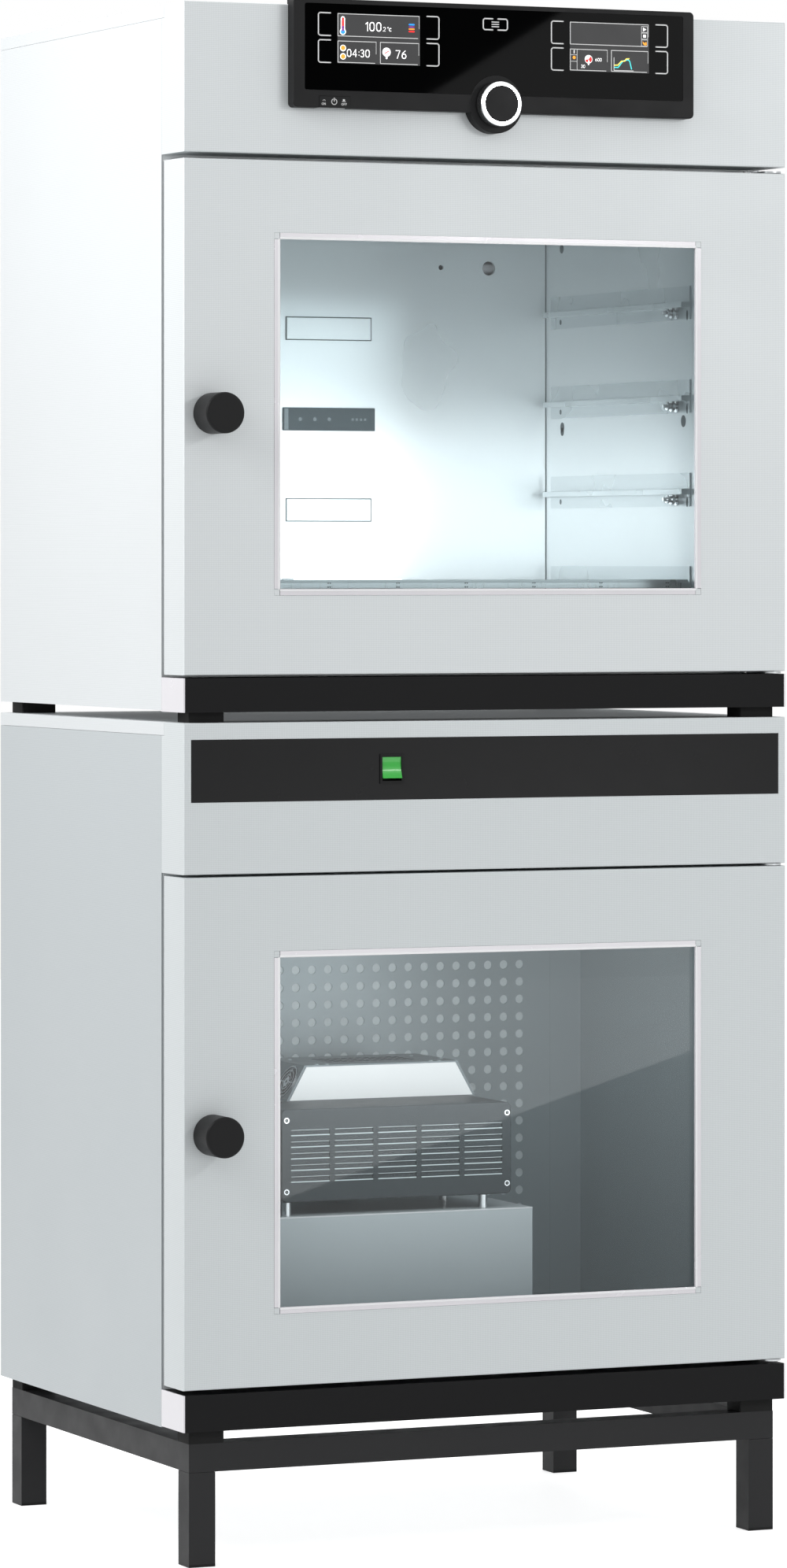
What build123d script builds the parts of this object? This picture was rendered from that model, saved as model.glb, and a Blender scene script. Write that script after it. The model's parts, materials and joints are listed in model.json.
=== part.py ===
from build123d import *
import math
import os

# Vacuum oven standing on its pump cabinet, millimetres, +X to the right, +Y to the back, +Z up.
# Origin: bottom centre, on the floor under the middle of the cabinets.

# Overall sizes
width = 710.0
depth = 550.0
unit_height = 760.0
frame_height = 130.0

# Sub-frame of square tube
tube = 30.0
tube_wall = 2.0
frame_inset = 10.0
glide_height = 3.0
glide_plug = 15.0

# Feet and casing sheets
foot_height = 12.5
foot_width = 40.0
foot_depth = 33.0
sheet = 1.5
edge_radius = 1.5
lid_skirt = 14.0
pan_flange = 20.0
joint = 0.3
slip = 0.2

# Front zone: door, front panel and plinth stand in front of the casing body
door_depth = 55.5
door_seam = 7.5
frame_sheet = 2.0
oven_plinth_lift = 11.0
oven_plinth_height = 36.2
oven_door_gap = 3.0
oven_top_gap = 6.6
oven_panel_height = 158.8
module_plinth_lift = 13.8
module_plinth_height = 38.9
module_door_gap = 5.0
module_top_gap = 3.0
module_panel_height = 159.8

# Window of both doors, set in from the chamber's edges
window_step_side = 27.5
window_step_top = 47.5
trim_width = 7.0
trim_depth = 3.0
trim_proud = 0.5
pane_lap = 6.0
outer_pane_thickness = 4.0
inner_pane_thickness = 15.0
inner_pane_corner = 6.0

# Door hinges and knobs
pivot_inset = 12.0
hinge_plate = 2.0
hinge_play = 0.5
pin_radius = 4.0
pin_flange_radius = 8.0
pin_flange = 3.0
running_fit = 0.05
knob_radius = 21.75
knob_length = 38.0
knob_inset = 32.5
knob_edge = 3.0
shaft_radius = 5.0
hook_reach = 24.0
hook_width = 10.0
hook_thickness = 4.0
hook_gap = 4.0
slot_play = 3.0

# Vacuum chamber and the room round it
chamber_side_room = 82.5
chamber_floor_rise = 93.5
chamber_roof_drop = 201.5
chamber_setback = 40.0
service_depth = 110.0
chamber_wall = 3.0
flange_reach = 14.0
gasket_thickness = 5.0
gasket_width = 8.0
gasket_edge = 3.0
gasket_corner = 12.0
insulation_thickness = 26.0
glass_lap = 22.0
lip_lap = 14.0
spring_radius = 6.0
spring_wire = 0.8
spring_turns = 5
spring_inset = 30.0

# Shelf rails, heated shelf and shelf sockets
shelf_levels = 4
first_ledge_rise = 53.25
last_ledge_drop = 103.5
rail_plate = 1.5
rail_height = 31.0
rail_below = 13.0
rail_setback = 26.0
rail_rear_gap = 16.0
ledge_reach = 10.0
ledge_thickness = 5.6
shelf_thickness = 7.5
shelf_flange = 1.7
shelf_clearance = 3.0
shelf_rear_gap = 16.0
shelf_plug_width = 133.0
shelf_plug_offset = 10.0
shelf_plug_hold = 6.0
shelf_plug_drop = 24.0
shelf_plug_proud = 2.2
socket_width = 113.0
cover_width = 105.0
socket_height = 26.0
socket_drop = 21.0
socket_thickness = 3.0
cover_thickness = 1.5

# Rear connections
port_radius = 8.0
port_wall = 2.0
port_flange_radius = 15.0
port_flange = 3.0
port_inset = 72.5
port_drop = 52.5
port_reach = 38.0
inlet_radius = 5.0
inlet_pitch = 60.0
valve_size = 36.0
valve_length = 40.0
valve_setback = 45.0
hole_play = 2.0
mains_width = 48.0
mains_height = 26.0
mains_flange = 5.0
mains_flange_thickness = 2.0
mains_depth = 22.0
mains_mouth_width = 25.0
mains_mouth_height = 17.0
mains_mouth_depth = 17.0
mains_pin = 10.0
mains_pin_width = 2.0
mains_pin_height = 4.0
mains_pin_pitch = 7.0
mains_pin_stagger = 2.5
mains_inset = 105.0
mains_rise = 90.0

# Control cockpit
cockpit_width = 472.0
cockpit_depth = 15.0
cockpit_bottom = 109.6
cockpit_over = 6.0
cockpit_wall = 2.5
cockpit_corner = 5.0
hook_back = 14.0
glass_margin = 13.0
glass_sill = 18.6
glass_head = 5.0
dial_rise = 9.0
dial_bulge = 31.0
dial_shaft_radius = 4.0
dial_collar = 6.0
dial_collar_thickness = 2.0
dial_push_gap = 2.0
dial_radius = 24.0
dial_length = 12.0
dial_rim = 4.5
dial_web = 5.0
dial_cap_proud = 0.4
button_width = 36.0
button_height = 12.6
button_offset = 188.5
button_flange = 3.0
button_flange_thickness = 2.0
button_proud = 0.4
board_thickness = 1.8
board_chip = 26.0
board_chip_pitch = 84.0
cable_slot_width = 96.0
cable_slot_height = 30.0
cable_slot_rise = 18.6

# Fascia strip with the rocker switch
fascia_inset = 8.5
fascia_height = 66.0
fascia_drop = 50.8
fascia_thickness = 3.0
fascia_recess = 0.3
bezel_width = 27.5
bezel_height = 31.4
bezel_proud = 1.5
switch_offset = 116.0
rocker_width = 22.0
rocker_height = 22.8
rocker_play = 1.5
rocker_reach = 9.0
rocker_hollow = 1.6
rocker_back = 4.0
rocker_pivot_depth = 7.0
rocker_waist = 16.0
rocker_root = 5.6
rocker_tilt = 8.0
rocker_pin = 1.2
switch_wall = 1.6
switch_room = 8.0

# Pump compartment
liner_side_room = 27.0
liner_over_chamber = 31.5
liner_service_depth = 86.0
liner_flange = 39.0
opening_inset = 18.0
hole_pitch = 20.0
hole_radius = 5.0
hole_border = 38.0
panel_margin = 24.0

# Pump on its pedestal
pedestal_width = 330.0
pedestal_setback = 140.0
pedestal_rear_gap = 74.0
pedestal_top = 220.5
pedestal_centre = -50.0
pedestal_sheet = 2.0
post_radius = 5.0
post_height = 15.0
post_centre = -56.0
post_pitch = 234.0
post_setback = 8.0
post_depth_pitch = 105.0
cover_centre = -43.0
cover_span = 274.0
cover_height = 100.5
cover_depth = 103.0
cover_wall = 3.0
cover_corner = 6.0
cover_overhang = 10.0
louvre_columns = 5
louvre_rows = 5
louvre_width = 46.0
louvre_height = 5.1
louvre_column_pitch = 51.6
louvre_row_pitch = 12.6
cover_screw_radius = 3.2
cover_screw_inset = 5.5
cover_screw_drop = 11.5
cover_screw_head = 1.2
top_foot_width = 228.0
top_head_width = 185.0
top_centre = -16.5
top_rise = 39.0
top_depth = 115.0
top_sheet = 2.0
fan_radius = 17.0
fan_guard_sheet = 1.2
fan_hub_radius = 6.0
fan_hub_length = 5.0
fan_blade_count = 7
fan_shaft_radius = 1.5
fan_gap = 2.0
fan_setback = 24.0
fan_guard_rings = (19.5, 14.4, 9.4)
fan_blade_angle = 25.0
fan_blade_play = 1.0
body_width = 200.0
body_depth = 95.0
head_radius = 28.0
head_height = 12.0

# Places worked out from the sizes above
half_width = width / 2
front = -depth / 2
rear = depth / 2
chamber_width = width - 2 * chamber_side_room
chamber_height = unit_height - chamber_floor_rise - chamber_roof_drop
chamber_depth = depth - chamber_setback - service_depth
axis_rise = chamber_floor_rise + chamber_height / 2
window_width = chamber_width - 2 * window_step_side
window_height = chamber_height - 2 * window_step_top
body_front = front + door_depth + door_seam
door_rear = front + door_depth
inner_half = half_width - sheet - joint
module_base = frame_height
oven_base = frame_height + unit_height
top = oven_base + unit_height
axis_z = oven_base + axis_rise
module_axis_z = module_base + axis_rise
units = (("module", module_base), ("oven", oven_base))
pivot_x = half_width - pivot_inset
pivot_y = front + pivot_inset
knob_x = -half_width + knob_inset

oven_panel_bottom = top - oven_panel_height
module_panel_bottom = oven_base - module_panel_height
oven_door = (
    oven_base + oven_plinth_lift + oven_plinth_height + oven_door_gap,
    oven_panel_bottom - oven_top_gap,
)
module_door = (
    module_base + module_plinth_lift + module_plinth_height + module_door_gap,
    module_panel_bottom - module_top_gap,
)

chamber_front = front + chamber_setback
chamber_back = chamber_front + chamber_depth
chamber_half = chamber_width / 2
chamber_half_height = chamber_height / 2
flange_half = chamber_half + chamber_wall + flange_reach
flange_half_height = chamber_half_height + chamber_wall + flange_reach
gasket_front = chamber_front - gasket_thickness
glass_rear = gasket_front - joint
glass_front = glass_rear - inner_pane_thickness
glass_half = flange_half + glass_lap
glass_half_height = flange_half_height + gasket_corner
lip_half = flange_half + lip_lap
lip_half_height = flange_half_height + gasket_edge
rail_length = chamber_depth - rail_setback - rail_rear_gap
shelf_depth = rail_length + shelf_clearance - shelf_rear_gap
first_ledge = axis_z - chamber_half_height + first_ledge_rise
ledge_pitch = (chamber_height - first_ledge_rise - last_ledge_drop) / (shelf_levels - 1)
ledges = [first_ledge + level * ledge_pitch for level in range(shelf_levels)]
port_offset = chamber_half - port_inset
port_rise = chamber_half_height - port_drop

fascia_width = width - 2 * fascia_inset
fascia_centre = oven_base - fascia_drop
mains_offset = half_width - mains_inset
liner_half = half_width - liner_side_room
liner_height = chamber_height + 2 * liner_over_chamber
liner_rear = rear - liner_service_depth
floor_z = module_axis_z - liner_height / 2
ceiling_z = module_axis_z + liner_height / 2
panel_width = 2 * (liner_half - liner_flange)
panel_height = liner_height - 2 * panel_margin
hole_columns = int((panel_width - 2 * hole_border) / hole_pitch) + 1
hole_rows = int((panel_height - 2 * hole_border) / hole_pitch) + 1
pedestal_z = module_base + pedestal_top
pedestal_front = front + pedestal_setback
pedestal_depth = liner_rear - pedestal_rear_gap - pedestal_front
cover_front = pedestal_front + cover_overhang
cover_bottom = pedestal_z + post_height
cover_top = cover_bottom + cover_height
cover_rear = cover_front + cover_depth


def block(x, y, z, mode=Mode.ADD):
    """A box between two corners, given as its span along each axis."""
    with Locations(((x[0] + x[1]) / 2, (y[0] + y[1]) / 2, (z[0] + z[1]) / 2)):
        Box(x[1] - x[0], y[1] - y[0], z[1] - z[0], mode=mode)


def across(x, z, radius, y, mode=Mode.ADD):
    """A cylinder along Y between two depths."""
    with Locations((x, (y[0] + y[1]) / 2, z)):
        Cylinder(radius, y[1] - y[0], rotation=(90, 0, 0), mode=mode)


def upright(x, y, radius, z, mode=Mode.ADD):
    """A cylinder along Z between two heights."""
    with Locations((x, y, (z[0] + z[1]) / 2)):
        Cylinder(radius, z[1] - z[0], mode=mode)


def span(half, centre=0.0):
    return (centre - half, centre + half)


def save(piece, name):
    piece.part.label = name
    export_step(piece.part, f"parts/{name}.step")


def frame_rails():
    outer_x = half_width - frame_inset
    outer_y = rear - frame_inset
    with BuildPart() as rails:
        for turn, long_half, short_half in ((0, outer_x, outer_y), (90, outer_y, outer_x)):
            for side in (0, 180):
                with BuildSketch(Plane.XY.offset(frame_height - tube).rotated((0, 0, turn + side))):
                    with BuildLine():
                        Polyline(
                            (-long_half, -short_half),
                            (long_half, -short_half),
                            (long_half - tube, -short_half + tube),
                            (-long_half + tube, -short_half + tube),
                            close=True,
                        )
                    make_face()
                extrude(amount=tube)
        for turn, long_half, short_half in ((0, outer_x, outer_y), (90, outer_y, outer_x)):
            for side in (0, 180):
                hollow_plane = Plane.XY.offset(frame_height - tube + tube_wall)
                with BuildSketch(hollow_plane.rotated((0, 0, turn + side))):
                    with BuildLine():
                        Polyline(
                            (-long_half + tube_wall, -short_half + tube_wall),
                            (long_half - tube_wall, -short_half + tube_wall),
                            (long_half - tube + tube_wall, -short_half + tube - tube_wall),
                            (-long_half + tube - tube_wall, -short_half + tube - tube_wall),
                            close=True,
                        )
                    make_face()
                extrude(amount=tube - 2 * tube_wall, mode=Mode.SUBTRACT)
    save(rails, "frame_rails")


def corner_places(half_size_x, half_size_y):
    """The four corner places of a piece of this size, set in by the frame's inset."""
    x = half_width - frame_inset - half_size_x
    y = rear - frame_inset - half_size_y
    return [(-x, -y), (x, -y), (-x, y), (x, y)]


def frame_legs():
    leg_top = frame_height - tube - joint
    bore = tube - 2 * tube_wall
    with BuildPart() as legs:
        with BuildSketch(Plane.XY.offset(glide_height)):
            with Locations(*corner_places(tube / 2, tube / 2)):
                Rectangle(tube, tube)
                Rectangle(bore, bore, mode=Mode.SUBTRACT)
        extrude(amount=leg_top - glide_height)
    save(legs, "frame_legs")

    with BuildPart() as glides:
        with BuildSketch():
            with Locations(*corner_places(tube / 2, tube / 2)):
                Rectangle(tube, tube)
        extrude(amount=glide_height)
        with BuildSketch(Plane.XY.offset(glide_height)):
            with Locations(*corner_places(tube / 2, tube / 2)):
                Rectangle(bore - slip, bore - slip)
        extrude(amount=glide_plug)
    save(glides, "leg_glides")


def rubber_feet():
    """Eight feet: the front ones carry the plinth bars, the rear ones the base pans."""
    with BuildPart() as feet:
        for base, lift in ((module_base, module_plinth_lift), (oven_base, oven_plinth_lift)):
            places = corner_places(foot_width / 2, foot_depth / 2)
            for pair, height in ((places[:2], lift), (places[2:], foot_height)):
                with BuildSketch(Plane.XY.offset(base)):
                    with Locations(*pair):
                        RectangleRounded(foot_width, foot_depth, edge_radius)
                extrude(amount=height)
    save(feet, "rubber_feet")


def base_pans():
    pan_rear = rear - sheet - joint
    with BuildPart() as pans:
        for _, base in units:
            low = base + foot_height
            y = (body_front + frame_sheet + joint, pan_rear)
            block(span(inner_half), y, (low, low + pan_flange))
            hollow_y = (y[0] + sheet, y[1] - sheet)
            block(span(inner_half - sheet), hollow_y, (low + sheet, low + pan_flange), Mode.SUBTRACT)
    save(pans, "base_pans")


def side_panels(unit, base):
    z = (base + foot_height, base + unit_height - lid_skirt - joint)
    with BuildPart() as panels:
        for side in (-1, 1):
            x = sorted((side * half_width, side * (half_width - sheet)))
            block(x, (body_front, rear), z)
    save(panels, f"{unit}_side_panels")


def unit_lids():
    with BuildPart() as lids:
        for _, base in units:
            high = base + unit_height
            y = (door_rear + joint, rear)
            block(span(half_width), y, (high - lid_skirt, high))
            shell = lids.faces().filter_by(Axis.Z).sort_by(Axis.Z)[-1]
            fillet(shell.edges(), edge_radius / 2)
            hollow = (high - lid_skirt, high - sheet)
            block(span(half_width - sheet), (y[0], rear - sheet), hollow, Mode.SUBTRACT)
    save(lids, "unit_lids")


def back_panels():
    port_z = axis_z + port_rise
    with BuildPart() as panels:
        for _, base in units:
            z = (base + foot_height, base + unit_height - lid_skirt - joint)
            block(span(inner_half), (rear - sheet, rear), z)
            block(
                span(mains_width / 2 + slip, mains_offset),
                (rear - sheet, rear),
                span(mains_height / 2 + slip, base + mains_rise),
                Mode.SUBTRACT,
            )
        for x, radius in ((port_offset, port_radius + port_wall), (port_offset - inlet_pitch, inlet_radius)):
            across(x, port_z, radius + hole_play, (rear - sheet, rear), Mode.SUBTRACT)
    save(panels, "back_panels")


def front_panel(unit, bottom, high):
    """A tray that closes the front above a door; its side returns clear the lid's skirt."""
    with BuildPart() as panel:
        block(span(half_width), (front, body_front - joint), (bottom, high))
        fillet(panel.faces().sort_by(Axis.Y)[0].edges(), edge_radius)
        hollow_y = (front + sheet, body_front)
        hollow_z = (bottom + sheet, high - sheet)
        block(span(half_width - sheet), hollow_y, hollow_z, Mode.SUBTRACT)
        notch_z = (high - lid_skirt - joint, high)
        block(span(half_width), (door_rear, body_front), notch_z, Mode.SUBTRACT)
        if unit == "module":
            cut = (span(fascia_width / 2 + slip), (front, front + sheet))
            block(*cut, span(fascia_height / 2 + slip, fascia_centre), Mode.SUBTRACT)
        else:
            cable_low = high - cockpit_bottom + cable_slot_rise
            cable_z = (cable_low, cable_low + cable_slot_height)
            block(span(cable_slot_width / 2), (front, front + sheet), cable_z, Mode.SUBTRACT)
    save(panel, f"{unit}_front_panel")


def front_frame(unit, base, opening_half, opening_half_height):
    """The plate behind the door, with the opening and the slot that the latch hook enters."""
    centre = base + axis_rise
    y = (body_front, body_front + frame_sheet)
    z = (base + foot_height + joint, base + unit_height - lid_skirt - sheet)
    slot_half = hook_width / 2 + slot_play
    with BuildPart() as plate:
        block(span(inner_half), y, z)
        block(span(opening_half), y, span(opening_half_height, centre), Mode.SUBTRACT)
        slot_z = (centre - shaft_radius - slot_play, centre + hook_reach + slot_play)
        block(span(slot_half, knob_x), y, slot_z, Mode.SUBTRACT)
    save(plate, f"{unit}_front_frame")


def plinths():
    bars_at = (
        (oven_base + oven_plinth_lift, oven_plinth_height),
        (module_base + module_plinth_lift, module_plinth_height),
    )
    bar_half = half_width - sheet
    with BuildPart() as bars:
        for low, tall in bars_at:
            block(span(bar_half), (front, body_front - joint), (low, low + tall))
            hollow_y = (front + frame_sheet, body_front)
            hollow_z = (low + frame_sheet, low + tall - frame_sheet)
            block(span(bar_half - frame_sheet), hollow_y, hollow_z, Mode.SUBTRACT)
    save(bars, "plinth_bars")

    with BuildPart() as caps:
        for low, tall in bars_at:
            for side in (-1, 1):
                x = sorted((side * bar_half, side * half_width))
                block(x, (front, body_front - joint), (low, low + tall))
    save(caps, "plinth_end_caps")


def door_skin(unit, door):
    """Folded front sheet of a door, with the window, the knob shaft hole and the hinge pin holes."""
    centre = axis_z if unit == "oven" else module_axis_z
    cut_half = window_width / 2 + trim_width
    cut_half_height = window_height / 2 + trim_width
    with BuildPart() as skin:
        block(span(half_width), (front, door_rear), door)
        fillet(skin.faces().sort_by(Axis.Y)[0].edges(), edge_radius)
        hollow_z = (door[0] + sheet, door[1] - sheet)
        block(span(half_width - sheet), (front + sheet, door_rear), hollow_z, Mode.SUBTRACT)
        block(span(cut_half), (front, front + sheet), span(cut_half_height, centre), Mode.SUBTRACT)
        across(knob_x, centre, shaft_radius + running_fit, (front, front + sheet), Mode.SUBTRACT)
        upright(pivot_x, pivot_y, pin_radius + running_fit, door, Mode.SUBTRACT)
    save(skin, f"{unit}_door_skin")


def window_trim(unit, centre):
    """Four strips round the window; they stop short of the corners."""
    y = (front - trim_proud, front - trim_proud + trim_depth)
    x_half = window_width / 2
    z_half = window_height / 2
    with BuildPart() as trim:
        for side in (-1, 1):
            x = sorted((side * x_half, side * (x_half + trim_width - slip)))
            block(x, y, span(z_half, centre))
            z = sorted((centre + side * z_half, centre + side * (z_half + trim_width - slip)))
            block(span(x_half), y, z)
    save(trim, f"{unit}_window_trim")


def outer_pane(name, centre):
    near = front - trim_proud + trim_depth + joint
    half = window_width / 2 + trim_width + pane_lap
    half_height = window_height / 2 + trim_width + pane_lap
    with BuildPart() as pane:
        block(span(half), (near, near + outer_pane_thickness), span(half_height, centre))
    save(pane, name)


def door_pan(unit, door, centre):
    """Rear sheet of a door. On the oven it is stepped forward to a lip that holds the inner pane."""
    x = span(inner_half)
    z = (door[0] + sheet + joint, door[1] - sheet - joint)
    with BuildPart() as pan:
        block(x, (door_rear - sheet, door_rear), z)
        if unit == "oven":
            well_half = lip_half + pivot_inset
            well_half_height = lip_half_height + pivot_inset
            outer = (span(well_half), span(well_half_height, centre))
            inner = (span(well_half - sheet), span(well_half_height - sheet, centre))
            block(outer[0], (glass_rear, door_rear), outer[1])
            block(inner[0], (glass_rear + sheet, door_rear), inner[1], Mode.SUBTRACT)
            lip = (span(lip_half), span(lip_half_height, centre))
            block(lip[0], (glass_rear, glass_rear + sheet), lip[1], Mode.SUBTRACT)
        else:
            well_half = window_width / 2 + trim_width + 2 * pane_lap + glass_lap
            well_half_height = window_height / 2 + trim_width + 2 * pane_lap + glass_lap
            outer = (span(well_half), span(well_half_height, centre))
            inner = (span(well_half - sheet), span(well_half_height - sheet, centre))
            block(outer[0], (door_rear - pan_flange, door_rear), outer[1])
            block(inner[0], (door_rear - pan_flange, door_rear), inner[1], Mode.SUBTRACT)
        slot = hook_width / 2 + slot_play
        across(knob_x, centre, slot, (door_rear - sheet, door_rear), Mode.SUBTRACT)
    save(pan, f"{unit}_door_inner_pan")


def inner_glass():
    with BuildPart() as glass:
        block(span(glass_half), (glass_front, glass_rear), span(glass_half_height, axis_z))
        fillet(glass.edges().filter_by(Axis.Y), inner_pane_corner)
    save(glass, "oven_inner_glass")


def pane_springs():
    """Coil springs between the door's front sheet and the inner pane, one near each corner."""
    room = glass_front - (front + sheet) - 2 * joint
    rise = room - 2 * spring_wire
    x = glass_half - spring_inset
    z = glass_half_height - spring_inset
    with BuildPart() as springs:
        for side_x in (-1, 1):
            for side_z in (-1, 1):
                start = (side_x * x, front + sheet + joint + spring_wire, axis_z + side_z * z)
                with BuildLine() as coil:
                    Helix(rise / spring_turns, rise, spring_radius, center=start, direction=(0, 1, 0))
                with BuildSketch(Plane(origin=coil.line @ 0, z_dir=coil.line % 0)):
                    Circle(spring_wire)
                sweep(is_frenet=True)
    save(springs, "oven_pane_springs")


def hinges():
    brackets_at = (
        oven_door[0] - hinge_play - hinge_plate,
        oven_door[1] + hinge_play,
        module_door[0] - hinge_play - hinge_plate,
        module_door[1] + hinge_play,
    )
    plate_half = pivot_inset - hinge_play
    with BuildPart() as brackets:
        for low in brackets_at:
            z = (low, low + hinge_plate)
            block(span(plate_half, pivot_x), (pivot_y, body_front), z)
            upright(pivot_x, pivot_y, plate_half, z)
            upright(pivot_x, pivot_y, pin_radius + running_fit, z, Mode.SUBTRACT)
    save(brackets, "hinge_brackets")

    pin_reach = hinge_play + hinge_plate + slip
    for unit, door in (("oven", oven_door), ("module", module_door)):
        with BuildPart() as pins:
            for edge, side in ((door[0], 1), (door[1], -1)):
                tip = edge - side * pin_reach
                root = edge + side * (sheet + pin_flange)
                upright(pivot_x, pivot_y, pin_radius, sorted((tip, root)))
                flange = sorted((edge + side * sheet, root))
                upright(pivot_x, pivot_y, pin_flange_radius, flange)
        save(pins, f"{unit}_hinge_pins")


def door_knob(unit, centre):
    """Turning knob, and behind it the shaft whose hook grips the front frame."""
    knob_y = (front - knob_length, front - joint)
    with BuildPart() as knob:
        across(knob_x, centre, knob_radius, knob_y)
        rim = knob.edges().filter_by(GeomType.CIRCLE).sort_by(Axis.Y)[0]
        fillet(rim, knob_edge)
        bore_y = (front - knob_length / 2, knob_y[1])
        across(knob_x, centre, shaft_radius + running_fit, bore_y, Mode.SUBTRACT)
    save(knob, f"{unit}_door_knob")

    hook_front = body_front + frame_sheet + hook_gap
    shaft_end = hook_front + hook_thickness
    with BuildPart() as shaft:
        across(knob_x, centre, shaft_radius, (front - knob_length / 2 + slip, shaft_end))
        hook_z = (centre, centre + hook_reach)
        block(span(hook_width / 2, knob_x), (hook_front, shaft_end), hook_z)
    save(shaft, f"{unit}_latch_shaft")


def chamber():
    outer = (span(chamber_half + chamber_wall), span(chamber_half_height + chamber_wall, axis_z))
    port_z = axis_z + port_rise
    with BuildPart() as box:
        block(outer[0], (chamber_front, chamber_back + chamber_wall), outer[1])
        flange_y = (chamber_front, chamber_front + chamber_wall)
        block(span(flange_half), flange_y, span(flange_half_height, axis_z))
        inner = (span(chamber_half), span(chamber_half_height, axis_z))
        block(inner[0], (chamber_front, chamber_back), inner[1], Mode.SUBTRACT)
        back_y = (chamber_back, chamber_back + chamber_wall)
        for x, radius in ((port_offset, port_radius), (port_offset - inlet_pitch, inlet_radius - port_wall)):
            across(x, port_z, radius, back_y, Mode.SUBTRACT)
    save(box, "oven_chamber")

    ring = (flange_half - gasket_edge, flange_half_height - gasket_edge)
    with BuildPart() as gasket:
        with BuildSketch(Plane.XZ.offset(-chamber_front)):
            with Locations((0, axis_z)):
                RectangleRounded(2 * ring[0], 2 * ring[1], gasket_corner)
                hole = (2 * (ring[0] - gasket_width), 2 * (ring[1] - gasket_width))
                RectangleRounded(*hole, gasket_corner - gasket_width, mode=Mode.SUBTRACT)
        extrude(amount=gasket_thickness)
    save(gasket, "chamber_gasket")

    wrap_half = chamber_half + chamber_wall + insulation_thickness
    wrap_half_height = chamber_half_height + chamber_wall + insulation_thickness
    wrap_y = (body_front + frame_sheet + joint, chamber_back + chamber_wall + insulation_thickness)
    with BuildPart() as insulation:
        block(span(wrap_half), wrap_y, span(wrap_half_height, axis_z))
        block(outer[0], (wrap_y[0], chamber_back + chamber_wall), outer[1], Mode.SUBTRACT)
        port_y = (chamber_back, wrap_y[1])
        for x, radius in ((port_offset, port_radius + port_wall), (port_offset - inlet_pitch, inlet_radius)):
            across(x, port_z, radius, port_y, Mode.SUBTRACT)
    save(insulation, "chamber_insulation")


def shelf_rails():
    """Wall plates and support ledges, both sides, one pair for each shelf level."""
    near = chamber_front + rail_setback
    y = (near, near + rail_length)
    with BuildPart() as rails:
        for side in (-1, 1):
            wall = side * chamber_half
            plate_x = sorted((wall, wall - side * rail_plate))
            ledge_x = sorted((wall - side * rail_plate, wall - side * (rail_plate + ledge_reach)))
            for height in ledges:
                block(plate_x, y, (height - rail_below - ledge_thickness, height + rail_height - rail_below))
                block(ledge_x, y, (height - ledge_thickness, height))
    save(rails, "shelf_rails")


def heated_shelf():
    """Flat heated shelf on the lowest ledges; its edges lap over them and its plug meets the socket."""
    ledge_inner = chamber_half - rail_plate - ledge_reach
    seat = ledges[0] + joint
    near = chamber_front + rail_setback - shelf_clearance
    y = (near, near + shelf_depth)
    with BuildPart() as shelf:
        body_z = (seat + shelf_flange - shelf_thickness, seat + shelf_flange)
        block(span(ledge_inner - shelf_clearance), y, body_z)
        block(span(chamber_half - rail_plate - shelf_clearance), y, (seat, seat + shelf_flange))
        plug_y = (y[1] - shelf_plug_hold, chamber_back - socket_thickness - joint)
        plug_x = span(shelf_plug_width / 2, shelf_plug_offset)
        block(plug_x, (y[1], plug_y[1]), (body_z[0] - shelf_plug_drop, body_z[1] + shelf_plug_proud))
        block(plug_x, plug_y, (body_z[0] - shelf_plug_drop, body_z[0]))
    save(shelf, "heated_shelf")


def sockets():
    """Shelf sockets on the back wall: live ones at the lowest and third level, blank covers between."""
    with BuildPart() as plugs:
        for level, height in enumerate(ledges):
            live = level % 2 == 0
            half = (socket_width if live else cover_width) / 2
            thickness = socket_thickness if live else cover_thickness
            z = span(socket_height / 2, height - socket_drop)
            block(span(half), (chamber_back - thickness, chamber_back), z)
    save(plugs, "shelf_sockets")


def vacuum_line():
    """Pumping line and gas inlet line, each with its valve block, from the chamber to the rear."""
    port_z = axis_z + port_rise
    end = rear + port_reach
    start = chamber_back + chamber_wall
    valve_y = (start + valve_setback, start + valve_setback + valve_length)
    lines_at = (
        (port_offset, port_radius + port_wall, port_radius, port_flange_radius),
        (port_offset - inlet_pitch, inlet_radius, inlet_radius - port_wall, inlet_radius + port_wall),
    )
    with BuildPart() as line:
        for x, outer, inner, lip in lines_at:
            across(x, port_z, outer, (start, end))
            across(x, port_z, lip, (end - port_flange, end))
            block(span(valve_size / 2, x), valve_y, span(valve_size / 2, port_z))
            across(x, port_z, inner, (start, end), Mode.SUBTRACT)
    save(line, "vacuum_line")


def mains_inlets():
    inside = rear - mains_depth
    with BuildPart() as inlets:
        for _, base in units:
            centre = base + mains_rise
            z = span(mains_height / 2, centre)
            block(span(mains_width / 2, mains_offset), (inside, rear), z)
            block(
                span(mains_width / 2 + mains_flange, mains_offset),
                (rear, rear + mains_flange_thickness),
                span(mains_height / 2 + mains_flange, centre),
            )
            mouth_y = (rear + mains_flange_thickness - mains_mouth_depth, rear + mains_flange_thickness)
            mouth_z = span(mains_mouth_height / 2, centre)
            block(span(mains_mouth_width / 2, mains_offset), mouth_y, mouth_z, Mode.SUBTRACT)
            for place in (-1, 0, 1):
                pin_x = span(mains_pin_width / 2, mains_offset + place * mains_pin_pitch)
                shift = mains_pin_stagger if place == 0 else -mains_pin_stagger
                pin_y = (mouth_y[0], mouth_y[0] + mains_pin)
                block(pin_x, pin_y, span(mains_pin_height / 2, centre + shift))
    save(inlets, "mains_inlets")


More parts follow.
